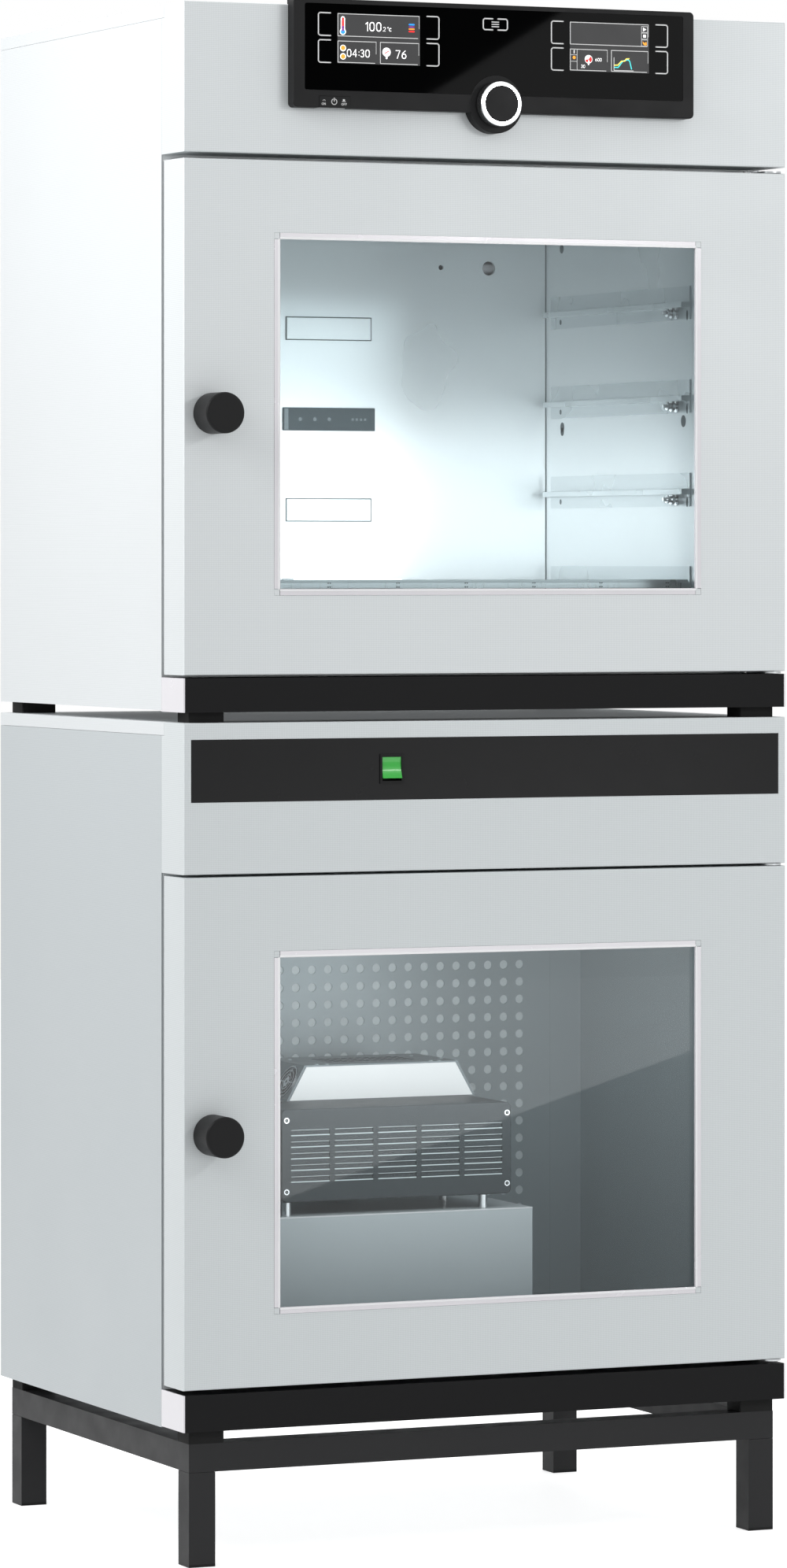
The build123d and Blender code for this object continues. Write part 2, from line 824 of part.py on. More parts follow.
def cockpit():
    low = top - cockpit_bottom
    high = top + cockpit_over
    half = cockpit_width / 2
    dial_z = low + dial_rise
    face = front - cockpit_depth
    glass_half_width = half - glass_margin
    glass_z = (low + glass_sill, high - glass_head)

    with BuildPart() as housing:
        with BuildSketch(Plane.XZ.offset(-front)):
            with Locations((0, (low + high) / 2)):
                RectangleRounded(cockpit_width, high - low, cockpit_corner)
            with Locations((0, dial_z)):
                Circle(dial_bulge)
        extrude(amount=cockpit_depth)
        fillet(housing.faces().sort_by(Axis.Y)[0].edges(), cockpit_wall / 2)
        flap_z = (top + slip, high)
        block(span(half - cockpit_corner), (front, front + hook_back), flap_z)
        with BuildSketch(Plane.XZ.offset(-front)):
            with Locations((0, (low + top) / 2)):
                Rectangle(cockpit_width - 2 * cockpit_wall, top - low - 2 * cockpit_wall)
            with Locations((0, dial_z)):
                Circle(dial_bulge - cockpit_wall)
        extrude(amount=cockpit_depth - cockpit_wall, mode=Mode.SUBTRACT)
        with BuildSketch(Plane.XZ.offset(-face)):
            with Locations((0, (glass_z[0] + glass_z[1]) / 2)):
                RectangleRounded(2 * glass_half_width, glass_z[1] - glass_z[0], cockpit_wall)
            with Locations((0, dial_z)):
                Circle(dial_bulge, mode=Mode.SUBTRACT)
        extrude(amount=-cockpit_wall, mode=Mode.SUBTRACT)
        notch_x = span(button_width / 2, -button_offset)
        block(notch_x, (face, front), (low, low + button_height), Mode.SUBTRACT)
        hole_y = (face, face + cockpit_wall)
        across(0, dial_z, dial_shaft_radius + running_fit, hole_y, Mode.SUBTRACT)
    save(housing, "cockpit_housing")

    with BuildPart() as glass:
        with BuildSketch(Plane.XZ.offset(-face - slip)):
            with Locations((0, (glass_z[0] + glass_z[1]) / 2)):
                pane = (2 * (glass_half_width - slip), glass_z[1] - glass_z[0] - 2 * slip)
                RectangleRounded(*pane, cockpit_wall)
            with Locations((0, dial_z)):
                Circle(dial_bulge + slip, mode=Mode.SUBTRACT)
        extrude(amount=-(cockpit_wall - slip))
    save(glass, "cockpit_glass")

    board_y = (face + cockpit_wall + joint, face + cockpit_wall + joint + board_thickness)
    board_z = (low + dial_rise + dial_bulge + cockpit_wall, top - 2 * cockpit_wall)
    with BuildPart() as board:
        block(span(glass_half_width - slip), board_y, board_z)
        chip_y = (board_y[1], board_y[1] + board_thickness)
        for place in (-2, -1, 1, 2):
            chip_x = span(board_chip / 2, place * board_chip_pitch)
            block(chip_x, chip_y, span(board_chip / 2, sum(board_z) / 2))
    save(board, "control_board")

    ring_y = (face - dial_push_gap - dial_length, face - dial_push_gap)
    pocket_y = (ring_y[0], ring_y[1] - dial_web)
    with BuildPart() as ring:
        across(0, dial_z, dial_radius, ring_y)
        fillet(ring.edges().filter_by(GeomType.CIRCLE).sort_by(Axis.Y)[0], edge_radius)
        across(0, dial_z, dial_radius - dial_rim, pocket_y, Mode.SUBTRACT)
        across(0, dial_z, dial_shaft_radius + running_fit, (pocket_y[1], ring_y[1]), Mode.SUBTRACT)
    save(ring, "dial_ring")

    with BuildPart() as cap:
        cap_y = (pocket_y[0] - dial_cap_proud, pocket_y[1])
        across(0, dial_z, dial_radius - dial_rim - slip, cap_y)
        fillet(cap.edges().filter_by(GeomType.CIRCLE).sort_by(Axis.Y)[0], edge_radius)
    save(cap, "dial_cap")

    with BuildPart() as shaft:
        collar_y = (face + cockpit_wall + joint, face + cockpit_wall + joint + dial_collar_thickness)
        across(0, dial_z, dial_shaft_radius, (pocket_y[1] + slip, collar_y[1]))
        across(0, dial_z, dial_collar, collar_y)
    save(shaft, "dial_shaft")

    with BuildPart() as button:
        key_x = span(button_width / 2 - joint, -button_offset)
        key_z = (low + joint, low + button_height - joint)
        flange_y = (face + cockpit_wall + joint, face + cockpit_wall + joint + button_flange_thickness)
        block(key_x, (face - button_proud, flange_y[1]), key_z)
        flange_x = span(button_width / 2 + button_flange, -button_offset)
        flange_z = (low + cockpit_wall + joint, low + button_height + button_flange)
        block(flange_x, flange_y, flange_z)
    save(button, "power_button")


def fascia():
    centre = fascia_centre
    strip_y = (front + fascia_recess, front + fascia_recess + fascia_thickness)
    body_half = bezel_width / 2 - switch_wall
    body_half_height = bezel_height / 2 - switch_wall
    pivot = strip_y[0] + rocker_pivot_depth
    room_half = rocker_width / 2 + slip
    room_half_height = rocker_height / 2 + rocker_play
    with BuildPart() as strip:
        block(span(fascia_width / 2), strip_y, span(fascia_height / 2, centre))
        cut = (span(body_half + slip, -switch_offset), strip_y, span(body_half_height + slip, centre))
        block(*cut, Mode.SUBTRACT)
    save(strip, "fascia_strip")

    with BuildPart() as bezel:
        flange_y = (strip_y[0] - bezel_proud, strip_y[0])
        x = span(bezel_width / 2, -switch_offset)
        z = span(bezel_height / 2, centre)
        block(x, flange_y, z)
        body_y = (strip_y[0], pivot + switch_room + switch_wall)
        block(span(body_half, -switch_offset), body_y, span(body_half_height, centre))
        room_y = (flange_y[0], pivot + switch_room)
        room_x = span(room_half, -switch_offset)
        block(room_x, room_y, span(room_half_height, centre), Mode.SUBTRACT)
        with Locations((-switch_offset, pivot, centre)):
            bore = (rocker_pin + running_fit, 2 * room_half + switch_wall)
            Cylinder(*bore, rotation=(0, 90, 0), mode=Mode.SUBTRACT)
    save(bezel, "switch_bezel")

    half = rocker_height / 2
    with BuildPart() as rocker:
        turned = Plane(
            origin=(-switch_offset - rocker_width / 2, pivot, centre), x_dir=(0, 1, 0), z_dir=(1, 0, 0)
        ).rotated((-rocker_tilt, 0, 0))
        with BuildSketch(turned):
            with BuildLine():
                ThreePointArc((-rocker_reach, half), (-rocker_reach + rocker_hollow, 0), (-rocker_reach, -half))
                Polyline(
                    (-rocker_reach, -half),
                    (0, -rocker_waist / 2),
                    (rocker_back, -rocker_root / 2),
                    (rocker_back, rocker_root / 2),
                    (0, rocker_waist / 2),
                    (-rocker_reach, half),
                )
            make_face()
        extrude(amount=rocker_width)
        with Locations((-switch_offset, pivot, centre)):
            Cylinder(rocker_pin, 2 * room_half + switch_wall - slip, rotation=(0, 90, 0))
    save(rocker, "switch_rocker")


def compartment():
    y = (body_front + frame_sheet + joint, liner_rear + sheet)
    with BuildPart() as liner:
        block(span(liner_half + sheet), y, (floor_z - sheet, ceiling_z + sheet))
        block(span(liner_half), (y[0], liner_rear), (floor_z, ceiling_z), Mode.SUBTRACT)
        block(
            span(panel_width / 2),
            (liner_rear, liner_rear + sheet),
            span(panel_height / 2, module_axis_z),
            Mode.SUBTRACT,
        )
        hook_end = body_front + frame_sheet + hook_gap + hook_thickness
        notch_y = (y[0], hook_end + slot_play)
        notch_z = (module_axis_z - hook_width / 2 - slot_play, module_axis_z + hook_reach + slot_play)
        block((-liner_half - sheet, -liner_half), notch_y, notch_z, Mode.SUBTRACT)
    save(liner, "module_liner")

    with BuildPart() as panel:
        with BuildSketch(Plane.XZ.offset(-liner_rear)):
            with Locations((0, module_axis_z)):
                Rectangle(panel_width - 2 * slip, panel_height - 2 * slip)
            with Locations((0, module_axis_z)):
                with GridLocations(hole_pitch, hole_pitch, hole_columns, hole_rows):
                    Circle(hole_radius, mode=Mode.SUBTRACT)
        extrude(amount=-sheet)
    save(panel, "perforated_panel")


def pump():
    pedestal_x = span(pedestal_width / 2, pedestal_centre)
    pedestal_y = (pedestal_front, pedestal_front + pedestal_depth)
    with BuildPart() as pedestal:
        block(pedestal_x, pedestal_y, (floor_z, pedestal_z))
        hollow_x = (pedestal_x[0] + pedestal_sheet, pedestal_x[1] - pedestal_sheet)
        hollow_y = (pedestal_y[0] + pedestal_sheet, pedestal_y[1])
        block(hollow_x, hollow_y, (floor_z, pedestal_z - pedestal_sheet), Mode.SUBTRACT)
    save(pedestal, "pump_pedestal")

    post_y = pedestal_front + post_setback + cover_overhang / 2
    with BuildPart() as posts:
        for x in span(post_pitch / 2, post_centre):
            for y in (post_y, post_y + post_depth_pitch):
                upright(x, y, post_radius, (pedestal_z, cover_bottom))
    save(posts, "pump_posts")

    cover_x = span(cover_span / 2, cover_centre)
    cover_mid = (cover_bottom + cover_top) / 2
    with BuildPart() as cover:
        with BuildSketch(Plane.XZ.offset(-cover_rear)):
            with Locations((cover_centre, cover_mid)):
                RectangleRounded(cover_span, cover_height, cover_corner)
        extrude(amount=cover_depth)
        fillet(cover.faces().sort_by(Axis.Y)[0].edges(), edge_radius)
        inner_x = span(cover_span / 2 - cover_wall, cover_centre)
        inner_z = (cover_bottom + cover_wall, cover_top - cover_wall)
        block(inner_x, (cover_front + cover_wall, cover_rear), inner_z, Mode.SUBTRACT)
        with BuildSketch(Plane.XZ.offset(-cover_front)):
            with Locations((cover_centre, cover_mid)):
                with GridLocations(louvre_column_pitch, louvre_row_pitch, louvre_columns, louvre_rows):
                    Rectangle(louvre_width, louvre_height)
        extrude(amount=-cover_wall, mode=Mode.SUBTRACT)
    save(cover, "pump_cover")

    with BuildPart() as screws:
        for x in span(cover_span / 2 - cover_screw_inset, cover_centre):
            for z in (cover_bottom + cover_screw_drop, cover_top - cover_screw_drop):
                across(x, z, cover_screw_radius, (cover_front - cover_screw_head, cover_front))
    save(screws, "pump_cover_screws")

    body_y = (cover_rear, cover_rear + body_depth)
    with BuildPart() as body:
        body_z = (cover_bottom, cover_top - joint)
        block(span(body_width / 2, top_centre), (body_y[0] + joint, body_y[1]), body_z)
        for place in (-1, 1):
            x = top_centre + place * body_width / 4
            upright(x, sum(body_y) / 2, head_radius, (body_z[1], body_z[1] + head_height))
    save(body, "pump_body")

    housing_y = (cover_rear + joint, cover_rear + joint + top_depth)
    foot_half = top_foot_width / 2
    head_half = top_head_width / 2
    with BuildPart() as housing:
        with BuildSketch(Plane.XZ.offset(-housing_y[1])):
            with BuildLine():
                Polyline(
                    (top_centre - foot_half, cover_top),
                    (top_centre + foot_half, cover_top),
                    (top_centre + head_half, cover_top + top_rise),
                    (top_centre - head_half, cover_top + top_rise),
                    close=True,
                )
            make_face()
        extrude(amount=top_depth)
        with BuildSketch(Plane.XZ.offset(-housing_y[1] + top_sheet)):
            with BuildLine():
                Polyline(
                    (top_centre - foot_half + 2 * top_sheet, cover_top),
                    (top_centre + foot_half - 2 * top_sheet, cover_top),
                    (top_centre + head_half - top_sheet, cover_top + top_rise - top_sheet),
                    (top_centre - head_half + top_sheet, cover_top + top_rise - top_sheet),
                    close=True,
                )
            make_face()
        extrude(amount=top_depth - 2 * top_sheet, mode=Mode.SUBTRACT)
        slope = math.degrees(math.atan2(foot_half - head_half, top_rise))
        face_middle = (
            top_centre - (foot_half + head_half) / 2,
            housing_y[0] + fan_setback,
            cover_top + top_rise / 2,
        )
        fan_plane = Plane(origin=face_middle, x_dir=(0, 1, 0), z_dir=(-1, 0, 0)).rotated((0, slope, 0))
        with BuildSketch(fan_plane.offset(-3 * top_sheet)):
            Circle(fan_radius)
        extrude(amount=6 * top_sheet, mode=Mode.SUBTRACT)
    save(housing, "pump_top_housing")

    with BuildPart() as guard:
        with BuildSketch(fan_plane):
            for radius in fan_guard_rings:
                Circle(radius)
                Circle(radius - fan_guard_sheet, mode=Mode.SUBTRACT)
            with PolarLocations(fan_guard_rings[0] / 2, 4):
                Rectangle(fan_guard_rings[0], fan_guard_sheet)
            Circle(fan_hub_radius)
            Circle(fan_shaft_radius + slip, mode=Mode.SUBTRACT)
        extrude(amount=fan_guard_sheet)
    save(guard, "pump_fan_guard")

    hub_top = -fan_gap
    with BuildPart() as fan:
        with BuildSketch(fan_plane.offset(hub_top - fan_hub_length)):
            Circle(fan_hub_radius)
        extrude(amount=fan_hub_length)
        with BuildSketch(fan_plane.offset(hub_top - fan_hub_length)):
            with PolarLocations((fan_hub_radius + fan_radius) / 2 - fan_blade_play, fan_blade_count):
                Rectangle(fan_radius - fan_hub_radius, fan_guard_sheet, rotation=fan_blade_angle)
        extrude(amount=fan_hub_length - fan_blade_play)
        with BuildSketch(fan_plane.offset(hub_top)):
            Circle(fan_shaft_radius)
        extrude(amount=fan_gap + fan_guard_sheet / 2)
    save(fan, "pump_fan_rotor")


os.makedirs("parts", exist_ok=True)
frame_rails()
frame_legs()
rubber_feet()
base_pans()
for unit_name, unit_base in units:
    side_panels(unit_name, unit_base)
unit_lids()
back_panels()
front_panel("oven", oven_panel_bottom, top)
front_panel("module", module_panel_bottom, oven_base)
front_frame("oven", oven_base, chamber_half + chamber_wall + slip, chamber_half_height + chamber_wall + slip)
front_frame("module", module_base, liner_half - opening_inset, liner_height / 2 - opening_inset)
plinths()
for unit_name, door_span, middle in (("oven", oven_door, axis_z), ("module", module_door, module_axis_z)):
    door_skin(unit_name, door_span)
    window_trim(unit_name, middle)
    outer_pane(f"{unit_name}_outer_pane", middle)
    door_pan(unit_name, door_span, middle)
    door_knob(unit_name, middle)
inner_glass()
pane_springs()
hinges()
chamber()
shelf_rails()
heated_shelf()
sockets()
vacuum_line()
mains_inlets()
cockpit()
fascia()
compartment()
pump()
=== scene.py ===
import json
import math

import bmesh
import bpy
from mathutils import Matrix, Vector


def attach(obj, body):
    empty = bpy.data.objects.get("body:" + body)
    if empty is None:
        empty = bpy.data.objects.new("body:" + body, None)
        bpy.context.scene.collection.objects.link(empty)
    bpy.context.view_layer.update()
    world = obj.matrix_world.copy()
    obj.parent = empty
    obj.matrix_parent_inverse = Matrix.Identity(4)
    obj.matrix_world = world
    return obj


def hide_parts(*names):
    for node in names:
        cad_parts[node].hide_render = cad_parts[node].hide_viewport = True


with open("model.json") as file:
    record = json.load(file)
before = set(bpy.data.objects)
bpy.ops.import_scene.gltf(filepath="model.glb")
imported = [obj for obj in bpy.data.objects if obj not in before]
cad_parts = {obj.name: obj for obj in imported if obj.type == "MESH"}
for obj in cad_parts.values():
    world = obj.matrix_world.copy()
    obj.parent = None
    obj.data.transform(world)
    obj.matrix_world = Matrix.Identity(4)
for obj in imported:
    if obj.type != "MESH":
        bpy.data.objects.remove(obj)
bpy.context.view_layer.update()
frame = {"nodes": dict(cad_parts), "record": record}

nodes = frame["nodes"]
MM = 0.001
# Sockets of Blender's mix node, whose names are the same for every kind of data
FLOAT_A, FLOAT_B, COLOUR_A, COLOUR_B, COLOUR_OUT = 2, 3, 6, 7, 2
# Blender's noise stays mostly between these values
NOISE_LOW, NOISE_HIGH = 0.3, 0.7
# Blender's wave texture stretches its diagonal by this factor
WAVE_GAIN = 10.0

# Camera: level, at the photograph's angle
camera_data = bpy.data.cameras.new("camera")
camera_data.sensor_width = 36.0
camera_data.lens = 151.25
camera_data.shift_y = -0.1414
camera = bpy.data.objects.new("camera", camera_data)
camera.location = (-2.953, -6.697, 1.0592)
camera.rotation_euler = (math.radians(90.0), 0.0, math.radians(-23.85))
bpy.context.collection.objects.link(camera)
bpy.context.scene.camera = camera
bpy.context.scene.view_settings.view_transform = "Standard"


# Materials
def new_tree(name):
    material = bpy.data.materials.new(name)
    material.use_nodes = True
    tree = material.node_tree
    return material, tree, tree.nodes["Principled BSDF"]


def add(tree, kind, **settings):
    """Adds a node; a setting whose name starts with in_ is the value of that input."""
    node = tree.nodes.new(kind)
    for key, value in settings.items():
        if key.startswith("in_"):
            node.inputs[key[3:].replace("_", " ")].default_value = value
        else:
            setattr(node, key, value)
    return node


def noise(tree, vector, scale, detail=3.0, roughness=0.6):
    node = add(tree, "ShaderNodeTexNoise", in_Scale=scale, in_Detail=detail, in_Roughness=roughness)
    tree.links.new(vector, node.inputs["Vector"])
    return node.outputs["Fac"]


def spread(tree, value, low, high):
    """Widens a noise's usual range to the one between low and high."""
    node = add(tree, "ShaderNodeMapRange")
    node.inputs["From Min"].default_value = NOISE_LOW
    node.inputs["From Max"].default_value = NOISE_HIGH
    node.inputs["To Min"].default_value = low
    node.inputs["To Max"].default_value = high
    tree.links.new(value, node.inputs["Value"])
    return node.outputs["Result"]


def between(tree, fac, one, two):
    """Mixes two colours by a factor."""
    node = add(tree, "ShaderNodeMix", data_type="RGBA")
    tree.links.new(fac, node.inputs["Factor"])
    node.inputs[COLOUR_A].default_value = (*one, 1.0)
    node.inputs[COLOUR_B].default_value = (*two, 1.0)
    return node.outputs[COLOUR_OUT]


def surface(name, colour, roughness, metallic=0.0, mottle=0.05, scale=30.0, stretch=(1, 1, 1), bump=0.02,
            grain=900.0, coat=0.0, specular=0.5, emission=0.0):
    """A finish whose colour and roughness vary a little, with a fine grain where bump isn't 0."""
    material, tree, shader = new_tree(name)
    coordinates = add(tree, "ShaderNodeTexCoord").outputs["Object"]
    mapping = add(tree, "ShaderNodeMapping", in_Scale=stretch)
    tree.links.new(coordinates, mapping.inputs["Vector"])
    broad = noise(tree, mapping.outputs["Vector"], scale)
    dark = tuple(c * (1 - mottle) for c in colour)
    light = tuple(min(1.0, c * (1 + mottle)) for c in colour)
    base = between(tree, broad, dark, light)
    tree.links.new(base, shader.inputs["Base Color"])
    rough = spread(tree, broad, roughness * 0.88, min(1.0, roughness * 1.12))
    tree.links.new(rough, shader.inputs["Roughness"])
    if bump:
        fine = noise(tree, mapping.outputs["Vector"], grain, 2.0)
        bumps = add(tree, "ShaderNodeBump", in_Strength=0.5, in_Distance=bump * MM)
        tree.links.new(fine, bumps.inputs["Height"])
        tree.links.new(bumps.outputs["Normal"], shader.inputs["Normal"])
    shader.inputs["Metallic"].default_value = metallic
    shader.inputs["Coat Weight"].default_value = coat
    shader.inputs["Specular IOR Level"].default_value = specular
    if emission:
        shader.inputs["Emission Color"].default_value = (*colour, 1.0)
        shader.inputs["Emission Strength"].default_value = emission
    return material


def linen(name, colour, contrast, roughness, metallic, pitch=4.0):
    """Embossed sheet: two crossing diagonal waves, pitch millimetres apart, make a fine woven relief."""
    material, tree, shader = new_tree(name)
    coordinates = add(tree, "ShaderNodeTexCoord").outputs["Object"]
    waves = []
    for tilt in (1.0, -1.0):
        mapping = add(tree, "ShaderNodeMapping", in_Scale=(1.0, 1.0, tilt))
        tree.links.new(coordinates, mapping.inputs["Vector"])
        wave = add(tree, "ShaderNodeTexWave", wave_type="BANDS", bands_direction="DIAGONAL")
        wave.inputs["Distortion"].default_value = 0.0
        wave.inputs["Scale"].default_value = 2 * math.pi / (WAVE_GAIN * pitch * MM)
        tree.links.new(mapping.outputs["Vector"], wave.inputs["Vector"])
        waves.append(wave.outputs["Fac"])
    weave = add(tree, "ShaderNodeMix", data_type="FLOAT")
    tree.links.new(waves[0], weave.inputs["Factor"])
    tree.links.new(waves[1], weave.inputs[FLOAT_B])
    invert = add(tree, "ShaderNodeMath", operation="SUBTRACT")
    invert.inputs[0].default_value = 1.0
    tree.links.new(waves[1], invert.inputs[1])
    tree.links.new(invert.outputs[0], weave.inputs[FLOAT_A])
    relief = weave.outputs[0]
    broad = noise(tree, coordinates, 6.0)
    dark = tuple(c * (1 - contrast) for c in colour)
    light = tuple(min(1.0, c * (1 + contrast)) for c in colour)
    tone = between(tree, relief, dark, light)
    drift = add(tree, "ShaderNodeMix", data_type="RGBA", blend_type="MULTIPLY", in_Factor=1.0)
    tree.links.new(tone, drift.inputs[COLOUR_A])
    faint = between(tree, broad, (0.97, 0.97, 0.97), (1.0, 1.0, 1.0))
    tree.links.new(faint, drift.inputs[COLOUR_B])
    tree.links.new(drift.outputs[COLOUR_OUT], shader.inputs["Base Color"])
    tree.links.new(spread(tree, broad, roughness * 0.9, roughness * 1.1), shader.inputs["Roughness"])
    bumps = add(tree, "ShaderNodeBump", in_Strength=0.8, in_Distance=0.08 * MM)
    tree.links.new(relief, bumps.inputs["Height"])
    tree.links.new(bumps.outputs["Normal"], shader.inputs["Normal"])
    shader.inputs["Metallic"].default_value = metallic
    return material


def glazing(name, tint, gloss):
    """Clear pane: light passes straight through, slightly tinted, and the surface mirrors its surround."""
    material = bpy.data.materials.new(name)
    material.use_nodes = True
    tree = material.node_tree
    tree.nodes.clear()
    out = add(tree, "ShaderNodeOutputMaterial")
    clear = add(tree, "ShaderNodeBsdfTransparent", in_Color=(*tint, 1.0))
    mirror = add(tree, "ShaderNodeBsdfGlossy", in_Roughness=0.01)
    fresnel = add(tree, "ShaderNodeFresnel", in_IOR=1.45)
    strength = add(tree, "ShaderNodeMath", operation="MULTIPLY")
    strength.inputs[1].default_value = gloss
    tree.links.new(fresnel.outputs[0], strength.inputs[0])
    mix = add(tree, "ShaderNodeMixShader")
    tree.links.new(strength.outputs[0], mix.inputs[0])
    tree.links.new(clear.outputs[0], mix.inputs[1])
    tree.links.new(mirror.outputs[0], mix.inputs[2])
    tree.links.new(mix.outputs[0], out.inputs["Surface"])
    return material


finishes = {}


def finish(name, *values, **options):
    """Keeps a plain surface among the finishes under its own name."""
    finishes[name] = surface(name, *values, **options)


finish("frame_black", (0.024, 0.024, 0.025), 0.5, mottle=0.12, bump=0.05, grain=1400.0, specular=0.16)
finish("foot_rubber", (0.014, 0.014, 0.014), 0.7, bump=0.08, mottle=0.2, specular=0.12)
finish("black_plastic", (0.012, 0.012, 0.0125), 0.42, bump=0.05, grain=2200.0, mottle=0.12, specular=0.12)
finishes["casing_white"] = linen("casing_white", (0.72, 0.745, 0.757), 0.02, 0.45, 0.1)
# A darker copy of casing_white: painted shade for the lower unit's side panels
finishes["casing_painted_shade"] = linen("casing_painted_shade", (0.53, 0.565, 0.58), 0.03, 0.45, 0.1)
finish("galvanised", (0.5, 0.52, 0.53), 0.4, 0.9, mottle=0.2, scale=60.0)
finishes["linen_steel"] = linen("linen_steel", (0.70, 0.73, 0.74), 0.16, 0.45, 0.1, pitch=2.7)
# A darker copy of linen_steel: painted shade for the lower unit's front panel, door skin and window corners
finishes["linen_painted_shade"] = linen("linen_painted_shade", (0.655, 0.69, 0.70), 0.16, 0.45, 0.1, pitch=2.7)
finish("stainless", (0.80, 0.825, 0.835), 0.3, 0.45, mottle=0.02, scale=5.0, bump=0.0)
finish("rail_steel", (0.66, 0.70, 0.715), 0.28, 0.4, mottle=0.03, scale=6.0, bump=0.0)
# Pale steel for thin strips along rail and shelf edges: painted highlight
finish("rail_highlight_strip", (0.80, 0.84, 0.85), 0.3, 0.4, mottle=0.03, bump=0.003)
finish("liner_steel", (0.40, 0.455, 0.475), 0.4, 0.2, mottle=0.03, scale=6.0, bump=0.0)
# Dark blue-grey for seams, joints and small marks; on the chamber's wall holes it is painted shade
finish("liner_edge", (0.10, 0.125, 0.135), 0.5, 0.2, mottle=0.05)
finish("filter_mat", (0.80, 0.85, 0.86), 0.8, mottle=0.04, scale=300.0, bump=0.05)
finish("pump_edge", (0.16, 0.19, 0.205), 0.4, 0.2, mottle=0.06)
# Bright metal for screws and pins, and for thin strips that paint highlights on louvre edges and liner
# corners
finish("bright_metal_and_highlight", (0.55, 0.62, 0.63), 0.3, 0.3, mottle=0.05)
finish("trim_white", (0.93, 0.93, 0.94), 0.25, mottle=0.01, coat=0.2)
finish("trim_pale", (0.74, 0.72, 0.75), 0.25, 0.1, mottle=0.02, coat=0.2)
finish("plinth_black", (0.008, 0.008, 0.0085), 0.45, mottle=0.15, bump=0.04, specular=0.1)
finishes["pane_glass"] = glazing("pane_glass", (0.95, 0.972, 0.978), 0.6)
finish("steel", (0.66, 0.67, 0.68), 0.22, 1.0, mottle=0.05, stretch=(1, 20, 1))
finish("wool", (0.62, 0.55, 0.38), 0.95, bump=0.6, grain=300.0, mottle=0.25, scale=80.0)
finish("seal_rubber", (0.5, 0.53, 0.54), 0.6, bump=0.05)
finish("shelf_aluminium", (0.80, 0.83, 0.84), 0.3, 0.9, mottle=0.04, stretch=(20, 1, 1))
finish("socket_black", (0.055, 0.075, 0.085), 0.45, bump=0.05, grain=1500.0, mottle=0.15, specular=0.2)
finish("board_green", (0.02, 0.13, 0.07), 0.4, mottle=0.3, scale=200.0, coat=0.3)
finish("cockpit_black", (0.014, 0.014, 0.0145), 0.5, mottle=0.15, bump=0.06, grain=2000.0, specular=0.12)
finish("cockpit_glass", (0.0008, 0.0009, 0.001), 0.03, mottle=0.02, bump=0.0, specular=0.008)
finish("dial_metal", (0.84, 0.85, 0.86), 0.2, 1.0, mottle=0.05, scale=120.0, stretch=(1, 8, 1))
finish("rocker_green", (0.035, 0.42, 0.05), 0.22, mottle=0.12, coat=0.3, specular=0.3, emission=0.08)
finish("fascia_black", (0.012, 0.012, 0.0125), 0.25, mottle=0.0, bump=0.0, specular=0.14)
finish("pedestal_pale", (0.62, 0.67, 0.69), 0.34, mottle=0.03, bump=0.03, coat=0.1)
finish("pump_grey", (0.05, 0.062, 0.068), 0.5, mottle=0.08, bump=0.012, grain=700.0, specular=0.2)
finish("pump_white", (0.88, 0.89, 0.89), 0.4, mottle=0.02, bump=0.05, grain=1500.0)
finish("pump_cast", (0.42, 0.45, 0.47), 0.5, 0.8, mottle=0.15, bump=0.2, grain=500.0)
finish("fan_black", (0.02, 0.022, 0.024), 0.4, mottle=0.1, specular=0.2)
finish("hinge_black", (0.014, 0.014, 0.014), 0.4, 0.2, mottle=0.15, specular=0.15)
# Near-black for the insides of holes and vents: painted shade
finish("recess_shade", (0.006, 0.007, 0.008), 0.8, mottle=0.1, specular=0.1)

slot_of = {row["node"]: row["material_slot"] for row in frame["record"]["subparts"]}
# Nodes whose finish differs a little from the usual one of their slot; the lower unit's side panels, front
# panel and door skin take darker copies of the casing and linen finishes, as painted shade
special = {
    "module_side_panels": "casing_painted_shade",
    "module_front_panel": "linen_painted_shade",
    "module_door_skin": "linen_painted_shade",
    "module_liner": "liner_steel",
    "perforated_panel": "liner_steel",
    "shelf_rails": "rail_steel",
    "pump_top_housing": "pump_edge",
    "oven_hinge_pins": "hinge_black",
    "module_hinge_pins": "hinge_black",
    "hinge_brackets": "galvanised",
}
for node_name, node in nodes.items():
    node.data.materials.clear()
    node.data.materials.append(finishes[special.get(node_name, slot_of[node_name])])


# Mesh helpers; all sizes below are in millimetres in the model's own frame
def finish_piece(name, bm, body, material, smooth=False):
    """Turns a drawn mesh into a named piece that rides a body; material is a finish's name or a material."""
    bmesh.ops.recalc_face_normals(bm, faces=bm.faces)
    bmesh.ops.transform(bm, matrix=Matrix.Scale(MM, 4), verts=bm.verts)
    mesh = bpy.data.meshes.new(name)
    bm.to_mesh(mesh)
    bm.free()
    for polygon in mesh.polygons:
        polygon.use_smooth = smooth
    piece = bpy.data.objects.new(name, mesh)
    bpy.context.collection.objects.link(piece)
    if isinstance(material, str):
        mesh.materials.append(finishes[material])
    else:
        mesh.materials.append(material)
    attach(piece, body)
    return piece


def bar(bm, x, y, z, bevel=0.0):
    """A box between two corners, with its edges rounded."""
    made = bmesh.ops.create_cube(bm, size=1.0)["verts"]
    size = Vector((x[1] - x[0], y[1] - y[0], z[1] - z[0]))
    middle = Vector((sum(x) / 2, sum(y) / 2, sum(z) / 2))
    for vert in made:
        vert.co = Vector((vert.co.x * size.x, vert.co.y * size.y, vert.co.z * size.z)) + middle
    if bevel:
        edges = list({edge for vert in made for edge in vert.link_edges})
        bmesh.ops.bevel(bm, geom=edges, offset=bevel, segments=2, affect="EDGES", profile=0.5)


